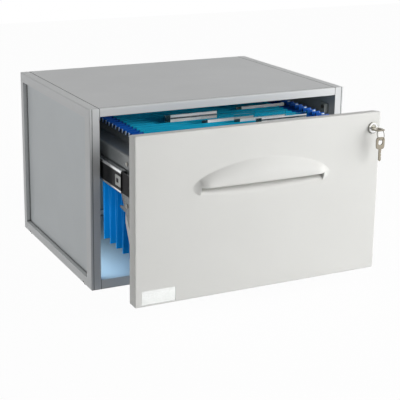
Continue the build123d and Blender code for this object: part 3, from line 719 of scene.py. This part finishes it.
@dataclass
class DrawerFront:
    """Moulded drawer front with a swelling grip, a finger pocket under its lip and a scoop below."""

    proud: float = 0.012
    end_drop: float = 0.0015
    line_below_top: float = 0.0905
    rise: float = 0.037
    shoulder_rise: float = 0.0165
    fall: float = 0.031
    shoulder_fall: float = 0.0155
    shoulder: float = 0.104
    half_length: float = 0.124
    pocket_half_length: float = 0.110
    pocket_inset: float = 0.0004
    pocket_depth: float = 0.014
    pocket_low: float = 0.004
    hollow: float = 5.0
    toe_start: float = 0.096
    nose_length: float = 0.014
    run_out: float = 0.0015
    run_out_height: float = 0.006
    run_out_length: float = 0.008
    finger_up: float = 0.010
    finger_proud: float = 0.005
    finger_half_length: float = 0.085
    finger_end: float = 0.100
    lip_round: float = 0.002
    corner: float = 0.003
    corner_fan: tuple[float, ...] = (22.5, 45.0, 67.5)
    edge_round: float = 0.002
    edge_shares: tuple[float, ...] = (1.0, 0.9, 0.75)
    top_draft: float = 0.11
    wall: float = 0.003
    cover_sheet: float = 0.0025
    label_play: float = 0.0002
    label_depth: float = 0.001
    lock_play: float = 0.0002
    lock_sides: int = 48
    scoop_rows: int = 16
    swell_rows: int = 18
    wall_rows: int = 4
    round_rows: int = 5
    nose_columns: int = 9
    pocket_columns: int = 34
    crease: float = 52.0
    low: Vector = field(default_factory=lambda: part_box("front_shell")[0])
    high: Vector = field(default_factory=lambda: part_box("front_shell")[1])

    def nose(self, x: float) -> float:
        """Returns the share of height left at x, where the grip's blunt ends round off."""
        return math.sqrt(1 - past(x, self.shoulder, self.half_length) ** 2)

    def toe(self, x: float) -> float:
        """Returns the share of depth left at x, where the grip's ends run out softly into the face."""
        gone = past(x, self.toe_start, self.half_length)
        return 1 - gone * gone * (3 - 2 * gone)

    def arc(self, x: float, middle: float, end: float) -> float:
        """Draws the arc from a shoulder over the middle to the other shoulder.

        Args:
            x: place along the grip.
            middle: height of the arc at the middle.
            end: its height at the shoulders.

        Returns:
            The height at x.
        """
        drop = middle - end
        radius = (self.shoulder**2 + drop**2) / (2 * drop)
        near = min(abs(x), self.half_length)
        return (middle - radius + math.sqrt(radius**2 - near**2)) * self.nose(x)

    def section(self, x: float, pocket: bool) -> list[Flat]:
        """Draws one upright section of the front.

        Args:
            x: place of the section.
            pocket: whether the section cuts the finger pocket.

        Returns:
            Heights over the grip line and how far each point stands proud, from the bottom to the top.
        """
        rise = self.arc(x, self.rise, self.shoulder_rise)
        fall = self.arc(x, self.fall, self.shoulder_fall)
        drop = self.end_drop * min(1.0, abs(x) / self.shoulder) ** 2
        proud = (self.proud - drop) * self.toe(x)
        bottom = self.low.z + self.corner - (self.high.z - self.line_below_top)
        top = self.line_below_top - self.corner
        if pocket:
            middle = self.pocket_points(x, fall, proud)
        else:
            count = len(self.pocket_points(0.0, self.fall, self.proud))
            middle = [(-fall * (1 - t), proud * (1 - (1 - t) ** 2)) for t in steps(0.0, 1.0, count)]
        start = middle[-1][0]
        swell = []
        for t in steps(0.0, 1.0, self.swell_rows)[1:]:
            swell.append((start + (rise - start) * t, proud * (1 - t * t)))
        below = (bottom, (bottom - fall) / 2, -fall - self.run_out_height, -fall - self.run_out)
        above = (rise + self.run_out, rise + self.run_out_height, (rise + top) / 2, top)
        foot, head = ([(height, 0.0) for height in heights] for heights in (below, above))
        return foot + middle + swell + head

    def pocket_points(self, x: float, fall: float, proud: float) -> list[Flat]:
        """Draws the scoop, the pocket behind the lip and the lip's nose.

        Args:
            x: place of the section.
            fall: how far the scoop reaches below the grip line.
            proud: how far the lip stands out.

        Returns:
            Heights over the grip line and how far points stand proud, from the scoop's foot to the lip.
        """
        back = -self.pocket_depth
        points = []
        for left in steps(1.0, 0.0, self.scoop_rows):
            t = 1 - left**2
            points.append((-fall * (1 - t) - self.pocket_low * t, back * t**self.hollow))
        inner = min(self.finger_proud, proud - self.lip_round)
        up = self.finger_up * (1 - past(x, self.finger_half_length, self.finger_end))
        points += [(height, back) for height in steps(-self.pocket_low, up, self.wall_rows)[1:]]
        points += [(up, out) for out in steps(back, inner, self.round_rows)[1:]]
        points += [(height, inner) for height in steps(up, 0.0, self.wall_rows)[1:]]
        for turn in steps(0.0, math.pi / 2, self.round_rows):
            out = proud - self.lip_round * (1 - math.sin(turn))
            points.append((self.lip_round * (1 - math.cos(turn)), out))
        return points

    def stations(self) -> list[tuple[float, bool]]:
        """Sets out the sections from the left edge to the right one.

        Returns:
            Where they stand along x, and whether each cuts the pocket.
        """
        edge = self.high.x - self.corner
        outer = [edge * share for share in self.edge_shares]
        outer += [self.half_length + self.run_out_length, self.half_length + self.run_out]
        for turn in steps(0.0, math.pi / 2, self.nose_columns):
            outer.append(self.half_length - self.nose_length * (1 - math.cos(turn)))
        inner = steps(self.pocket_half_length - self.pocket_inset, 0.0, self.pocket_columns)
        half = [(x, False) for x in outer] + [(x, True) for x in inner]
        return [(-x, pocket) for x, pocket in half] + list(reversed(half[:-1]))

    def rim(self, columns: Sequence[Sequence[Point]]) -> list[tuple[Point, Flat]]:
        """Walks round the face.

        Args:
            columns: points of the face, section by section.

        Returns:
            Points of the face's border, each with its outward direction in x and z; corners fan out.
        """
        sides = (
            ([column[0] for column in columns], 270),
            (list(columns[-1]), 0),
            ([column[-1] for column in reversed(columns)], 90),
            (list(reversed(columns[0])), 180),
        )
        walk = []
        for points, degrees in sides:
            stops = [(point, degrees) for point in points]
            stops += [(points[-1], degrees + fan) for fan in self.corner_fan]
            for point, faces in stops:
                turn = math.radians(faces)
                walk.append((point, (math.cos(turn), math.sin(turn))))
        return walk

    def shell(self) -> bpy.types.Object:
        """Builds the front as one closed form, open for the lock and the label.

        Returns:
            The front.
        """
        face = self.low.y + self.proud
        line = self.high.z - self.line_below_top
        columns = [
            [(x, face - out, line + height) for height, out in self.section(x, pocket)]
            for x, pocket in self.stations()
        ]
        draft = MeshDraft()
        draft.skin(columns)
        walk = self.rim(columns)
        flat = self.corner - self.edge_round
        thick = self.high.y - face
        rings = [(0.0, 0.0)]
        for turn in steps(0.0, math.pi / 2, self.round_rows):
            offset = flat + self.edge_round * math.sin(turn)
            rings.append((offset, self.edge_round * (1 - math.cos(turn))))
        inside = self.corner - self.wall
        rings += [(self.corner, thick), (inside, thick), (inside, thick - self.cover_sheet)]
        rows = []
        for offset, depth in rings:
            fall = self.top_draft * depth
            row = []
            for (x, _, z), (across, up) in walk:
                row.append((x + across * offset, face + depth, z + up * offset - max(0.0, up) * fall))
            rows.append(row)
        draft.skin(rows, closed=True)
        draft.face(rows[-1])
        piece = draft.make("drawer_front")
        self.cut(piece, self.label_place(), face - self.proud, face + self.label_depth)
        self.cut(piece, self.lock_place(), face - self.proud, self.high.y + self.proud)
        piece.data.set_sharp_from_angle(angle=math.radians(self.crease))
        return piece

    def label_place(self) -> list[Flat]:
        """Outlines the label's place.

        Returns:
            Points as x and z.
        """
        low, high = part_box("label_cover")
        left, right = low.x - self.label_play, high.x + self.label_play
        foot, head = low.z - self.label_play, high.z + self.label_play
        return [(left, foot), (right, foot), (right, head), (left, head)]

    def lock_place(self) -> list[Flat]:
        """Outlines the round opening for the lock.

        Returns:
            Points as x and z.
        """
        low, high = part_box("lock_plug")
        middle = (low + high) / 2
        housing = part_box("lock_housing")
        radius = (housing[1].z - housing[0].z) / 2 + self.lock_play
        outline = []
        for turn in turns(self.lock_sides):
            outline.append((middle.x + radius * math.cos(turn), middle.z + radius * math.sin(turn)))
        return outline

    def cut(self, piece: bpy.types.Object, outline: Sequence[Flat], front: float, back: float) -> None:
        """Takes a block out of a piece for good.

        Args:
            piece: the piece.
            outline: outline of the block as x and z.
            front: where the block starts along y.
            back: where it ends.
        """
        draft = MeshDraft()
        draft.block([[(x, y, z) for x, z in outline] for y in (front, back)])
        tool = draft.make("cutter")
        remove = piece.modifiers.new("cut", "BOOLEAN")
        remove.operation = "DIFFERENCE"
        remove.solver = "EXACT"
        remove.object = tool
        bpy.context.view_layer.update()
        evaluated = piece.evaluated_get(bpy.context.evaluated_depsgraph_get())
        done = bpy.data.meshes.new_from_object(evaluated)
        piece.modifiers.clear()
        piece.data = done
        bpy.data.objects.remove(tool)

    def build(self, wardrobe: Wardrobe) -> None:
        """Builds and dresses the front, its cover sheet and its label."""
        wardrobe.place(self.shell(), "front_white", "drawer", ["front_shell"])
        wardrobe.dress_nodes(("front_cover", "cover_screws", "label_card", "label_cover"))


@dataclass
class DrawerBody:
    """Drawer sides of bent sheet, the crossbar behind them, brackets and screws."""

    sides: tuple[str, ...] = ("left_drawer_side", "right_drawer_side", "rear_crossbar")
    joints: tuple[str, ...] = ("left_front_bracket", "right_front_bracket", "drawer_screws")

    def build(self, wardrobe: Wardrobe) -> None:
        """Dresses the drawer's sheet work."""
        wardrobe.dress_nodes(self.sides + self.joints)


@dataclass
class Runners:
    """Ball runners: three channels a side, ball cages, bumpers, clips, screws and rivets."""

    channels: tuple[tuple[str, float], ...] = (
        ("slide_outer", 0.0190),
        ("slide_middle", 0.0138),
        ("slide_inner", 0.0110),
    )
    others: tuple[str, ...] = ("slide_bumper", "outer_ball_cage", "inner_ball_cage")
    clip_inset: float = 0.0005
    clip_length: float = 0.022
    clip_half_height: float = 0.0085
    clip_sheet: float = 0.0005
    clip_bevel: float = 0.0012
    clip_levels: tuple[Flat, ...] = ((0.0, 0.0), (0.6, 0.0), (1.0, 0.3))
    slot_length: float = 0.009
    slot_half_height: float = 0.0035
    slot_share: float = 0.65

    def clip(self, side: str, outward: int) -> bpy.types.Object:
        """Builds the slotted end clip on the middle channel.

        Args:
            side: left or right.
            outward: -1 on the left, 1 on the right.

        Returns:
            The clip as one closed form.
        """
        low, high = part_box(f"{side}_slide_middle")
        web = low.x if outward < 0 else high.x
        middle = (low.z + high.z) / 2
        front = low.y + self.clip_inset
        start = front + (self.clip_length - self.slot_length) * self.slot_share
        outer = []
        inner = []
        for height, slope in self.clip_levels:
            x = web + outward * self.clip_sheet * height
            inset = self.clip_bevel * slope
            outer.append(self.outline(x, front, self.clip_length, middle, self.clip_half_height, inset))
            inner.append(self.outline(x, start, self.slot_length, middle, self.slot_half_height, -inset))
        draft = MeshDraft()
        for rows in (outer, inner, [outer[0], inner[0]], [outer[-1], inner[-1]]):
            draft.skin(rows, closed=True)
        return draft.make(f"{side}_runner_clip")

    def outline(
        self, x: float, start: float, length: float, middle: float, half: float, inset: float
    ) -> list[Point]:
        """Draws a rectangle with cut corners at x.

        Args:
            x: plane of the outline.
            start: its front end along y.
            length: its length along y.
            middle: its middle height.
            half: half its height.
            inset: how far each side is drawn in.

        Returns:
            Eight points in order.
        """
        bevel = self.clip_bevel
        near = start + inset
        far = start + length - inset
        low = middle - half + inset
        high = middle + half - inset
        flat = (
            (near + bevel, low), (far - bevel, low), (far, low + bevel), (far, high - bevel),
            (far - bevel, high), (near + bevel, high), (near, high - bevel), (near, low + bevel),
        )
        return [(x, y, z) for y, z in flat]

    def build(self, wardrobe: Wardrobe) -> None:
        """Dresses the runners on both sides and adds their clips.

        Args:
            wardrobe: the materials.
        """
        for kind, web_half in self.channels:
            # Each channel's web gets a painted shade; web_half sets its height.
            steel = RunnerSteel("runner_steel", BRIGHT_STEEL, STEEL_ROUGHNESS, web_half=web_half).make()
            for side in ("left", "right"):
                wardrobe.wear(frame["nodes"][f"{side}_{kind}"], steel)
                log.info("dressed %s_%s in blackened steel", side, kind)
        for side, outward in (("left", -1), ("right", 1)):
            wardrobe.dress_nodes(f"{side}_{kind}" for kind in self.others)
            clip = self.clip(side, outward)
            wardrobe.place(clip, "runner_steel", f"{side}_runner", finish=CLIP_STEEL)
        wardrobe.dress_nodes(("runner_screws", "slide_rivets"))


@dataclass
class HangingFiles:
    """Suspension files: bowed card pockets hemmed round hooked bars, pale hook tips that are partly painted
    highlight, and clear tabs.
    """

    count: int = 9
    sheet: float = 0.0005
    half_mouth: float = 0.0087
    half_fold: float = 0.0012
    bar_front: float = 0.00789
    bar_sheet: float = 0.002
    bar_top: float = 0.2615
    hem_play: float = 0.00035
    hem_low: float = 0.2485
    hem_half_length: float = 0.150
    hem_crown: float = 0.7
    hem_rows: int = 9
    corner_cut: float = 0.022
    middle_columns: int = 25
    corner_columns: int = 4
    flap_rows: int = 16
    fold_rows: int = 7
    bow: float = 0.0026
    bow_reach: float = 0.92
    ripple: float = 0.0008
    ripples_across: float = 9.0
    ripples_down: float = 11.0
    side_shift: float = 40.0
    file_shift: float = 7.3
    tip_reach: float = 0.181
    tip_length: float = 0.0016
    cap_length: float = 0.006
    tip_play: float = 0.0002
    tip_low: float = 0.2597
    tip_foot: float = 0.0006
    tip_foot_share: float = 0.55
    tip_high: float = 0.2672
    tip_head: float = 0.0010
    tip_head_share: float = 0.5
    tip_taper: float = 0.001
    tip_bevel: float = 0.0007
    tip_slim: float = 0.6
    tip_crease: float = 60.0
    strips: tuple[Point, ...] = (
        (0.088, -0.21806, 0.0105),
        (0.063, -0.19006, 0.0058),
        (0.010, -0.17584, 0.0058),
        (-0.045, -0.14784, 0.0128),
        (0.112, -0.10606, 0.0058),
    )
    strip_left: float = -0.038
    strip_right: float = 0.0485
    strip_end: float = -0.0485
    strip_gap: float = 0.0003
    strip_sheet: float = 0.00015
    strip_lean: float = 0.0002
    strip_wave: float = 40.0
    strip_columns: int = 9
    strip_turns: int = 5

    def names(self) -> list[str]:
        """Returns the CAD nodes of the pockets in their order."""
        return [f"suspension_file_{number:02d}" for number in range(1, self.count + 1)]

    def columns(self, end: float) -> list[float]:
        """Sets out the card's upright lines, closer at the cut corners.

        Args:
            end: half the card's width.

        Returns:
            Where the lines stand along x.
        """
        middle = steps(-self.hem_half_length, self.hem_half_length, self.middle_columns)
        outer = steps(self.hem_half_length, end, self.corner_columns)[1:]
        return [-x for x in reversed(outer)] + middle + outer

    def hem(self, middle: float, side: int, high: float) -> list[Flat]:
        """Draws the card's turn over a bar.

        Args:
            middle: the pocket's place along y.
            side: -1 for the front bar, 1 for the rear one.
            high: height of the flap's upper edge.

        Returns:
            Points as y and z, from inside the pocket over the bar to the flap's upper edge.
        """
        outer = self.bar_front + 2 * self.hem_play
        inner = self.bar_front - self.bar_sheet - self.hem_play
        radius = (outer - inner) / 2
        centre = (outer + inner) / 2
        points = [(inner, self.hem_low), (inner, (self.hem_low + self.bar_top) / 2)]
        for turn in steps(0.0, math.pi, self.hem_rows):
            up = radius * math.sin(turn) * self.hem_crown
            points.append((centre - radius * math.cos(turn), self.bar_top + up))
        points.append((self.half_mouth, high))
        return [(middle + side * y, z) for y, z in points]

    def fold(self, low: Vector) -> float:
        """Returns the height at which a pocket's fold begins, from the lowest corner of its box."""
        return low.z + self.sheet / 2 + self.half_fold

    def flap(self, x: float, side: int, seed: int, box: tuple[Vector, Vector]) -> list[Point]:
        """Draws one upright line of a pocket's side, from its upper edge down to the fold.

        Args:
            x: place of the line.
            side: -1 for the front side, 1 for the rear one.
            seed: number that sets how this pocket bows.
            box: lowest and highest corner of the pocket.

        Returns:
            Points of the line.
        """
        low, high = box
        middle = (low.y + high.y) / 2
        fold = self.fold(low)
        top = high.z - self.corner_cut * past(x, self.hem_half_length, high.x)
        swell = self.bow * math.cos(math.pi * x / (high.x - low.x)) ** 2
        line = []
        for t in steps(0.0, 1.0, self.flap_rows):
            z = top + (fold - top) * t
            down = (high.z - z) / (high.z - fold)
            free = math.sin(math.pi * min(1.0, down * self.bow_reach))
            shifted = z * self.ripples_down + self.side_shift * side
            wave = noise.noise(Vector((x * self.ripples_across, shifted, seed * self.file_shift)))
            half = self.half_mouth + (self.half_fold - self.half_mouth) * down
            line.append((x, middle + side * (half + free * (swell + self.ripple * wave)), z))
        return line

    def pocket(self, name: str, seed: int) -> bpy.types.Object:
        """Builds one pocket.

        Args:
            name: CAD node that it stands for.
            seed: number that sets how this pocket bows.

        Returns:
            The pocket as a thin closed sheet.
        """
        low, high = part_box(name)
        middle = (low.y + high.y) / 2
        columns = self.columns(high.x)
        hemmed = columns[self.corner_columns - 1 : 1 - self.corner_columns]
        draft = MeshDraft()
        sides = []
        for side in (-1, 1):
            lines = [self.flap(x, side, seed, (low, high)) for x in columns]
            draft.skin(lines)
            hem = self.hem(middle, side, high.z)
            draft.skin([[(x, y, z) for y, z in hem] for x in hemmed])
            sides.append(lines)
        turn = [
            (middle - self.half_fold * math.cos(angle), self.fold(low) - self.half_fold * math.sin(angle))
            for angle in steps(0.0, math.pi, self.fold_rows)
        ]
        bottom = []
        for front, rear in zip(*sides):
            bottom.append([front[-1], *((front[-1][0], y, z) for y, z in turn[1:-1]), rear[-1]])
        draft.skin(bottom)
        return draft.make(f"{name}_card", solid=self.sheet)

    def tips(self) -> bpy.types.Object:
        """Builds the pale caps on the noses of all hooks, white plastic lightened as painted highlight.

        Returns:
            The caps as one piece.
        """
        draft = MeshDraft()
        for name in self.names():
            low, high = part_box(name)
            middle = (low.y + high.y) / 2
            for side in (-1, 1):
                bar = middle + side * (self.bar_front - self.bar_sheet / 2)
                self.tip(draft, bar, -1, self.tip_length)
                self.tip(draft, bar, 1, self.cap_length if side < 0 else self.tip_length)
        return draft.make("hook_tips", crease=self.tip_crease)

    def tip(self, draft: MeshDraft, bar: float, end: int, length: float) -> None:
        """Drafts one cap.

        Args:
            draft: draft that takes the cap.
            bar: middle of the bar along y.
            end: -1 for the left end, 1 for the right one.
            length: how far the cap reaches along the bar.
        """
        half = self.bar_sheet / 2 + self.tip_play
        bevel = self.tip_bevel
        rows = []
        for z, share in (
            (self.tip_low - self.tip_play, self.tip_foot_share),
            (self.tip_low + self.tip_foot, 1.0),
            (self.tip_high - self.tip_head, 1.0),
            (self.tip_high + self.tip_play, self.tip_head_share),
        ):
            taper = (1 - share) * self.tip_taper
            outer = self.tip_reach + self.tip_play - taper
            inner = self.tip_reach - length + taper
            wide = half * share
            slim = wide * self.tip_slim
            outline = (
                (inner, -slim), (inner, slim), (inner + bevel, wide), (outer - bevel, wide),
                (outer, slim), (outer, -slim), (outer - bevel, -wide), (inner + bevel, -wide),
            )
            rows.append([(end * x, bar + y, z) for x, y in outline])
        draft.block(rows)

    def inserts(self, name: str, first: float, last: float) -> bpy.types.Object:
        """Builds the same stretch of the folded strip in every tab as one piece.

        Args:
            name: name of the piece.
            first: where the stretch starts, from the middle of its tab.
            last: where it ends.

        Returns:
            The folded strips as thin closed sheets.
        """
        low = self.bar_top + self.strip_gap
        draft = MeshDraft()
        for middle, place, height in self.strips:
            rows = []
            for x in steps(middle + first, middle + last, self.strip_columns):
                lean = self.strip_lean * math.cos(self.strip_wave * (x - middle))
                row = [(x, place - self.strip_gap, low)]
                row.append((x, place - self.strip_gap / 2 - lean, low + height / 2))
                for turn in steps(0.0, math.pi, self.strip_turns):
                    across = place - self.strip_gap / 2 * math.cos(turn)
                    row.append((x, across, low + height - self.strip_gap * (1 - math.sin(turn))))
                row.append((x, place + self.strip_gap, low))
                rows.append(row)
            draft.skin(rows)
        return draft.make(name, solid=self.strip_sheet)

    def build(self, wardrobe: Wardrobe) -> None:
        """Builds the pockets, hook tips and strips, and the dark sheets of painted shade beyond the strips,
        and dresses bars and tabs.

        Args:
            wardrobe: the materials.
        """
        for seed, name in enumerate(self.names(), start=1):
            wardrobe.place(self.pocket(name, seed), "file_card", "files", [name])
        # The hook tips' pale bluish colour is partly painted highlight.
        wardrobe.place(self.tips(), "front_white", "files", finish=LIT_TIP_PLASTIC)
        # The strips carry a painted shade line.
        strips = self.inserts("tab_strips", self.strip_left, self.strip_right)
        wardrobe.place(strips, "label_paper", "files", ["file_tab_labels"], SHADE_LINED_STRIP)
        # Painted shade: a dark sheet in each holder beyond its strip.
        ends = self.inserts("tab_strip_end_shade", self.strip_end, self.strip_left)
        wardrobe.place(ends, "bumper_black", "files", finish=STRIP_END_SHADE)
        wardrobe.dress_nodes(("file_bars", "file_tabs"))


@dataclass
class LockSet:
    """Cam lock with its key, the key ring and the spare key."""

    shown: tuple[str, ...] = ("lock_rosette", "lock_plug")
    hidden: tuple[str, ...] = ("lock_housing", "lock_nut", "lock_cam", "cam_screw")
    bow_half: float = 0.008
    bow_up: float = 0.0085
    bow_down: float = 0.0115
    eye: float = 0.0045
    bow_points: int = 40
    notches: tuple[Flat, ...] = ((0.0235, 0.0009), (0.0265, 0.0014), (0.0295, 0.0006), (0.0325, 0.0011))
    notch_half: float = 0.0012
    tip: float = 0.0022
    key_length: float = 0.040
    wire: float = 0.0003
    wire_gap: float = 0.00001
    ring_play: float = 0.00005
    wire_end: float = 0.35
    wire_step: float = 0.3
    wire_sides: int = 8
    ring_rows: int = 121
    ring_crease: float = 60.0

    def bow(self) -> list[Flat]:
        """Outlines the bow, open where the blade begins.

        Returns:
            Points across and along the key.
        """
        outline = []
        for turn in turns(self.bow_points, shift=0.5):
            across, along = math.sin(turn), math.cos(turn)
            reach = self.bow_down if along > 0 else self.bow_up
            half = math.copysign(self.bow_half * math.sqrt(abs(across)), across)
            outline.append((half, self.bow_up + math.copysign(reach * math.sqrt(abs(along)), along)))
        return outline

    def blade(self, bow: Sequence[Flat]) -> list[Flat]:
        """Outlines the blade from one side of the bow's mouth round its tip to the other.

        Args:
            bow: outline of the bow.

        Returns:
            Points across and along the key.
        """
        edge, _ = bow[0]
        outline = [bow[0]]
        for along, depth in self.notches:
            outline.append((edge, along - self.notch_half))
            outline.append((edge - depth, along))
            outline.append((edge, along + self.notch_half))
        outline += [(edge, self.key_length - self.tip), (self.tip / 4, self.key_length)]
        outline += [(-self.tip / 4, self.key_length), (-edge, self.key_length - self.tip), bow[-1]]
        return outline

    def key(self, node: str, hangs: bool) -> bpy.types.Object:
        """Cuts a flat key with a bow, an eye and a notched blade, where the plain key is.

        Args:
            node: CAD node of the plain key.
            hangs: whether the key hangs from its eye or lies in the lock.

        Returns:
            The key.
        """
        low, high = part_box(node)
        middle = (low + high) / 2

        def lay(line: Sequence[Flat], corner: Vector) -> list[Point]:
            """Lays an outline on one face of the key.

            Args:
                line: points across and along the key.
                corner: corner of the key's box that is on the face.

            Returns:
                Points of the outline in their places.
            """
            if hangs:
                return [(middle.x + across, corner.y, high.z - along) for across, along in line]
            return [(middle.x + across, low.y + along, corner.z) for across, along in line]

        bow = self.bow()
        around = turns(self.bow_points, shift=0.5)
        eye = [(self.eye * math.sin(turn), self.bow_up + self.eye * math.cos(turn)) for turn in around]
        faces = [[lay(line, corner) for line in (eye, bow, self.blade(bow))] for corner in (low, high)]
        draft = MeshDraft()
        for eye_line, bow_line, blade_line in faces:
            draft.skin([eye_line, bow_line], closed=True)
            draft.face(blade_line)
        for near, far, closed in zip(*faces, (True, False, False)):
            draft.skin([near, far], closed=closed)
        return draft.make(f"{node}_cut")

    def ring(self) -> bpy.types.Object:
        """Winds the split ring: two turns of wire side by side, with a step from one to the other.

        Returns:
            The ring.
        """
        low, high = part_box("key_ring")
        middle = (low + high) / 2
        radius = (high.z - low.z) / 2 - self.wire - self.ring_play
        beside = self.wire + self.wire_gap
        rows = []
        for turn in steps(self.wire_end, 2 * math.tau - self.wire_end, self.ring_rows):
            across = beside * max(-1.0, min(1.0, (turn - math.tau) / self.wire_step))
            row = []
            for side in turns(self.wire_sides):
                out = radius + self.wire * math.cos(side)
                x = middle.x + across + self.wire * math.sin(side)
                row.append((x, middle.y + out * math.sin(turn), middle.z + out * math.cos(turn)))
            rows.append(row)
        draft = MeshDraft()
        draft.block(rows)
        return draft.make("split_ring", crease=self.ring_crease)

    def build(self, wardrobe: Wardrobe) -> None:
        """Dresses the lock, cuts its keys and winds the ring.

        Args:
            wardrobe: the materials.
        """
        wardrobe.dress_nodes(self.shown + self.hidden)
        for node, body, hangs in (("lock_key", "key", False), ("spare_key", "second_key", True)):
            wardrobe.place(self.key(node, hangs), "key_nickel", body, [node])
        wardrobe.place(self.ring(), "key_nickel", "ring", ["key_ring"], RING_WIRE)


@dataclass(frozen=True)
class Lamp:
    """Soft lamp: where it hangs, what it faces, its two sides in metres and its power in watts."""

    name: str
    place: Point
    aim: Point
    sides: Flat
    power: float

    def hang(self) -> bpy.types.Object:
        """Hangs the lamp as a square.

        Returns:
            The lamp, linked to the scene.
        """
        light = bpy.data.lights.new(self.name, "AREA")
        light.size, light.size_y = self.sides
        light.energy = self.power
        holder = set_up(self.name, light)
        holder.location = self.place
        faces = Vector(self.aim) - Vector(self.place)
        holder.rotation_euler = faces.to_track_quat("-Z", "Y").to_euler()
        return holder


@dataclass(frozen=True)
class InnerLamp(Lamp):
    """Weak bluish lamp inside the case, which the lens and the metal don't see."""

    cool: Colour = (0.55, 0.80, 1.0)

    def hang(self) -> bpy.types.Object:
        """Hangs the lamp as a rectangle.

        Returns:
            The lamp, linked to the scene.
        """
        holder = super().hang()
        holder.data.shape = "RECTANGLE"
        holder.data.color = self.cool
        holder.visible_camera = False
        holder.visible_glossy = False
        return holder


@dataclass
class Studio:
    """White floor and backdrop, soft lamps and the photograph's camera."""

    floor_half: float = 3.0
    floor_drop: float = 0.0002
    floor_colour: Colour = (0.85, 0.85, 0.85)
    floor_roughness: float = 0.9
    ambient: float = 0.16
    white_share: float = 0.97
    lamps: tuple[Lamp, ...] = (
        Lamp("key_lamp", (1.65, -1.75, 0.5), (0.0, -0.2, 0.15), (2.4, 2.4), 81.5),
        Lamp("left_lamp", (-2.4, 0.5, 0.8), (-0.24, 0.0, 0.15), (1.4, 1.4), 11.5),
        InnerLamp("floor_lamp", (-0.197, -0.03, 0.05), (-0.197, -0.03, 0.0), (0.04, 0.28), 0.042),
        InnerLamp("file_lamp", (-0.2185, -0.09, 0.10), (0.0, -0.09, 0.10), (0.16, 0.13), 0.16),
    )
    frame_pixels: float = 400.0
    sensor: float = 36.0
    focal_pixels: float = 1060.38
    yaw: float = 25.753
    pitch: float = 14.562
    roll: float = 0.5
    place: Point = (-0.81007, -1.69302, 0.65557)
    shift: Flat = (0.05, -0.12)

    def seen(self, tree: ShaderTree) -> Socket:
        """Finds rays from the lens, from metal and through clear plastic.

        Args:
            tree: node tree that takes the nodes.

        Returns:
            Socket that is 1 for such a ray and 0 for others.
        """
        rays = tree.add("LightPath").outputs
        total = rays["Is Camera Ray"]
        for name in ("Is Glossy Ray", "Is Transmission Ray"):
            total = tree.add("Math", {0: total, 1: rays[name]}, operation="MAXIMUM").outputs[0]
        return total

    def floor(self) -> None:
        """Lays the floor: white to the lens, with a faint shadow of the object left on it."""
        half = self.floor_half
        draft = MeshDraft()
        corners = ((-half, -half), (half, -half), (half, half), (-half, half))
        draft.face([(x, y, -self.floor_drop) for x, y in corners])
        ground = draft.make("studio_floor")
        paper = bpy.data.materials.new("studio_paper")
        tree = ShaderTree(paper)
        tree.shade(Base_Color=(*self.floor_colour, 1.0), Roughness=self.floor_roughness)
        share = tree.add("Math", {0: self.seen(tree), 1: self.white_share}, operation="MULTIPLY")
        glow = tree.add("Emission").outputs["Emission"]
        mixed = {"Fac": share.outputs[0], 1: tree.shader.outputs["BSDF"], 2: glow}
        blend = tree.add("MixShader", mixed).outputs["Shader"]
        tree.links.new(blend, tree.nodes["Material Output"].inputs["Surface"])
        ground.data.materials.append(paper)

    def world(self) -> None:
        """Sets a white backdrop that lights the object at a plain level."""
        sky = bpy.data.worlds.new("studio_sky")
        bpy.context.scene.world = sky
        tree = ShaderTree(sky)
        level = tree.spread(self.seen(tree), self.ambient, 1.0, start=0.0, end=1.0)
        tree.shade(Color=(1.0, 1.0, 1.0, 1.0), Strength=level)

    def camera(self) -> None:
        """Stands the camera where the photograph was taken from."""
        lens = bpy.data.cameras.new("photo_camera")
        lens.sensor_width = self.sensor
        lens.lens = self.focal_pixels * self.sensor / self.frame_pixels
        lens.shift_x, lens.shift_y = self.shift
        holder = set_up("photo_camera", lens)
        holder.location = self.place
        aim = Euler((math.radians(90 - self.pitch), 0.0, math.radians(-self.yaw))).to_matrix()
        holder.rotation_euler = (aim @ Matrix.Rotation(math.radians(self.roll), 3, "Z")).to_euler()
        bpy.context.scene.camera = holder

    def build(self) -> None:
        """Sets floor, backdrop, lamps and camera."""
        bpy.context.scene.view_settings.view_transform = "Standard"
        self.floor()
        self.world()
        for lamp in self.lamps:
            lamp.hang()
        self.camera()
        log.info("set the studio")


def main() -> None:
    """Builds the sub-assemblies in order."""
    logging.basicConfig(level=logging.INFO, format="%(name)s: %(message)s")
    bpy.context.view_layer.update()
    wardrobe = Wardrobe(FINISHES)
    for assembly in (Cabinet(), DrawerFront(), DrawerBody(), Runners(), HangingFiles(), LockSet()):
        assembly.build(wardrobe)
    Studio().build()


if __name__ == "__main__":
    main()
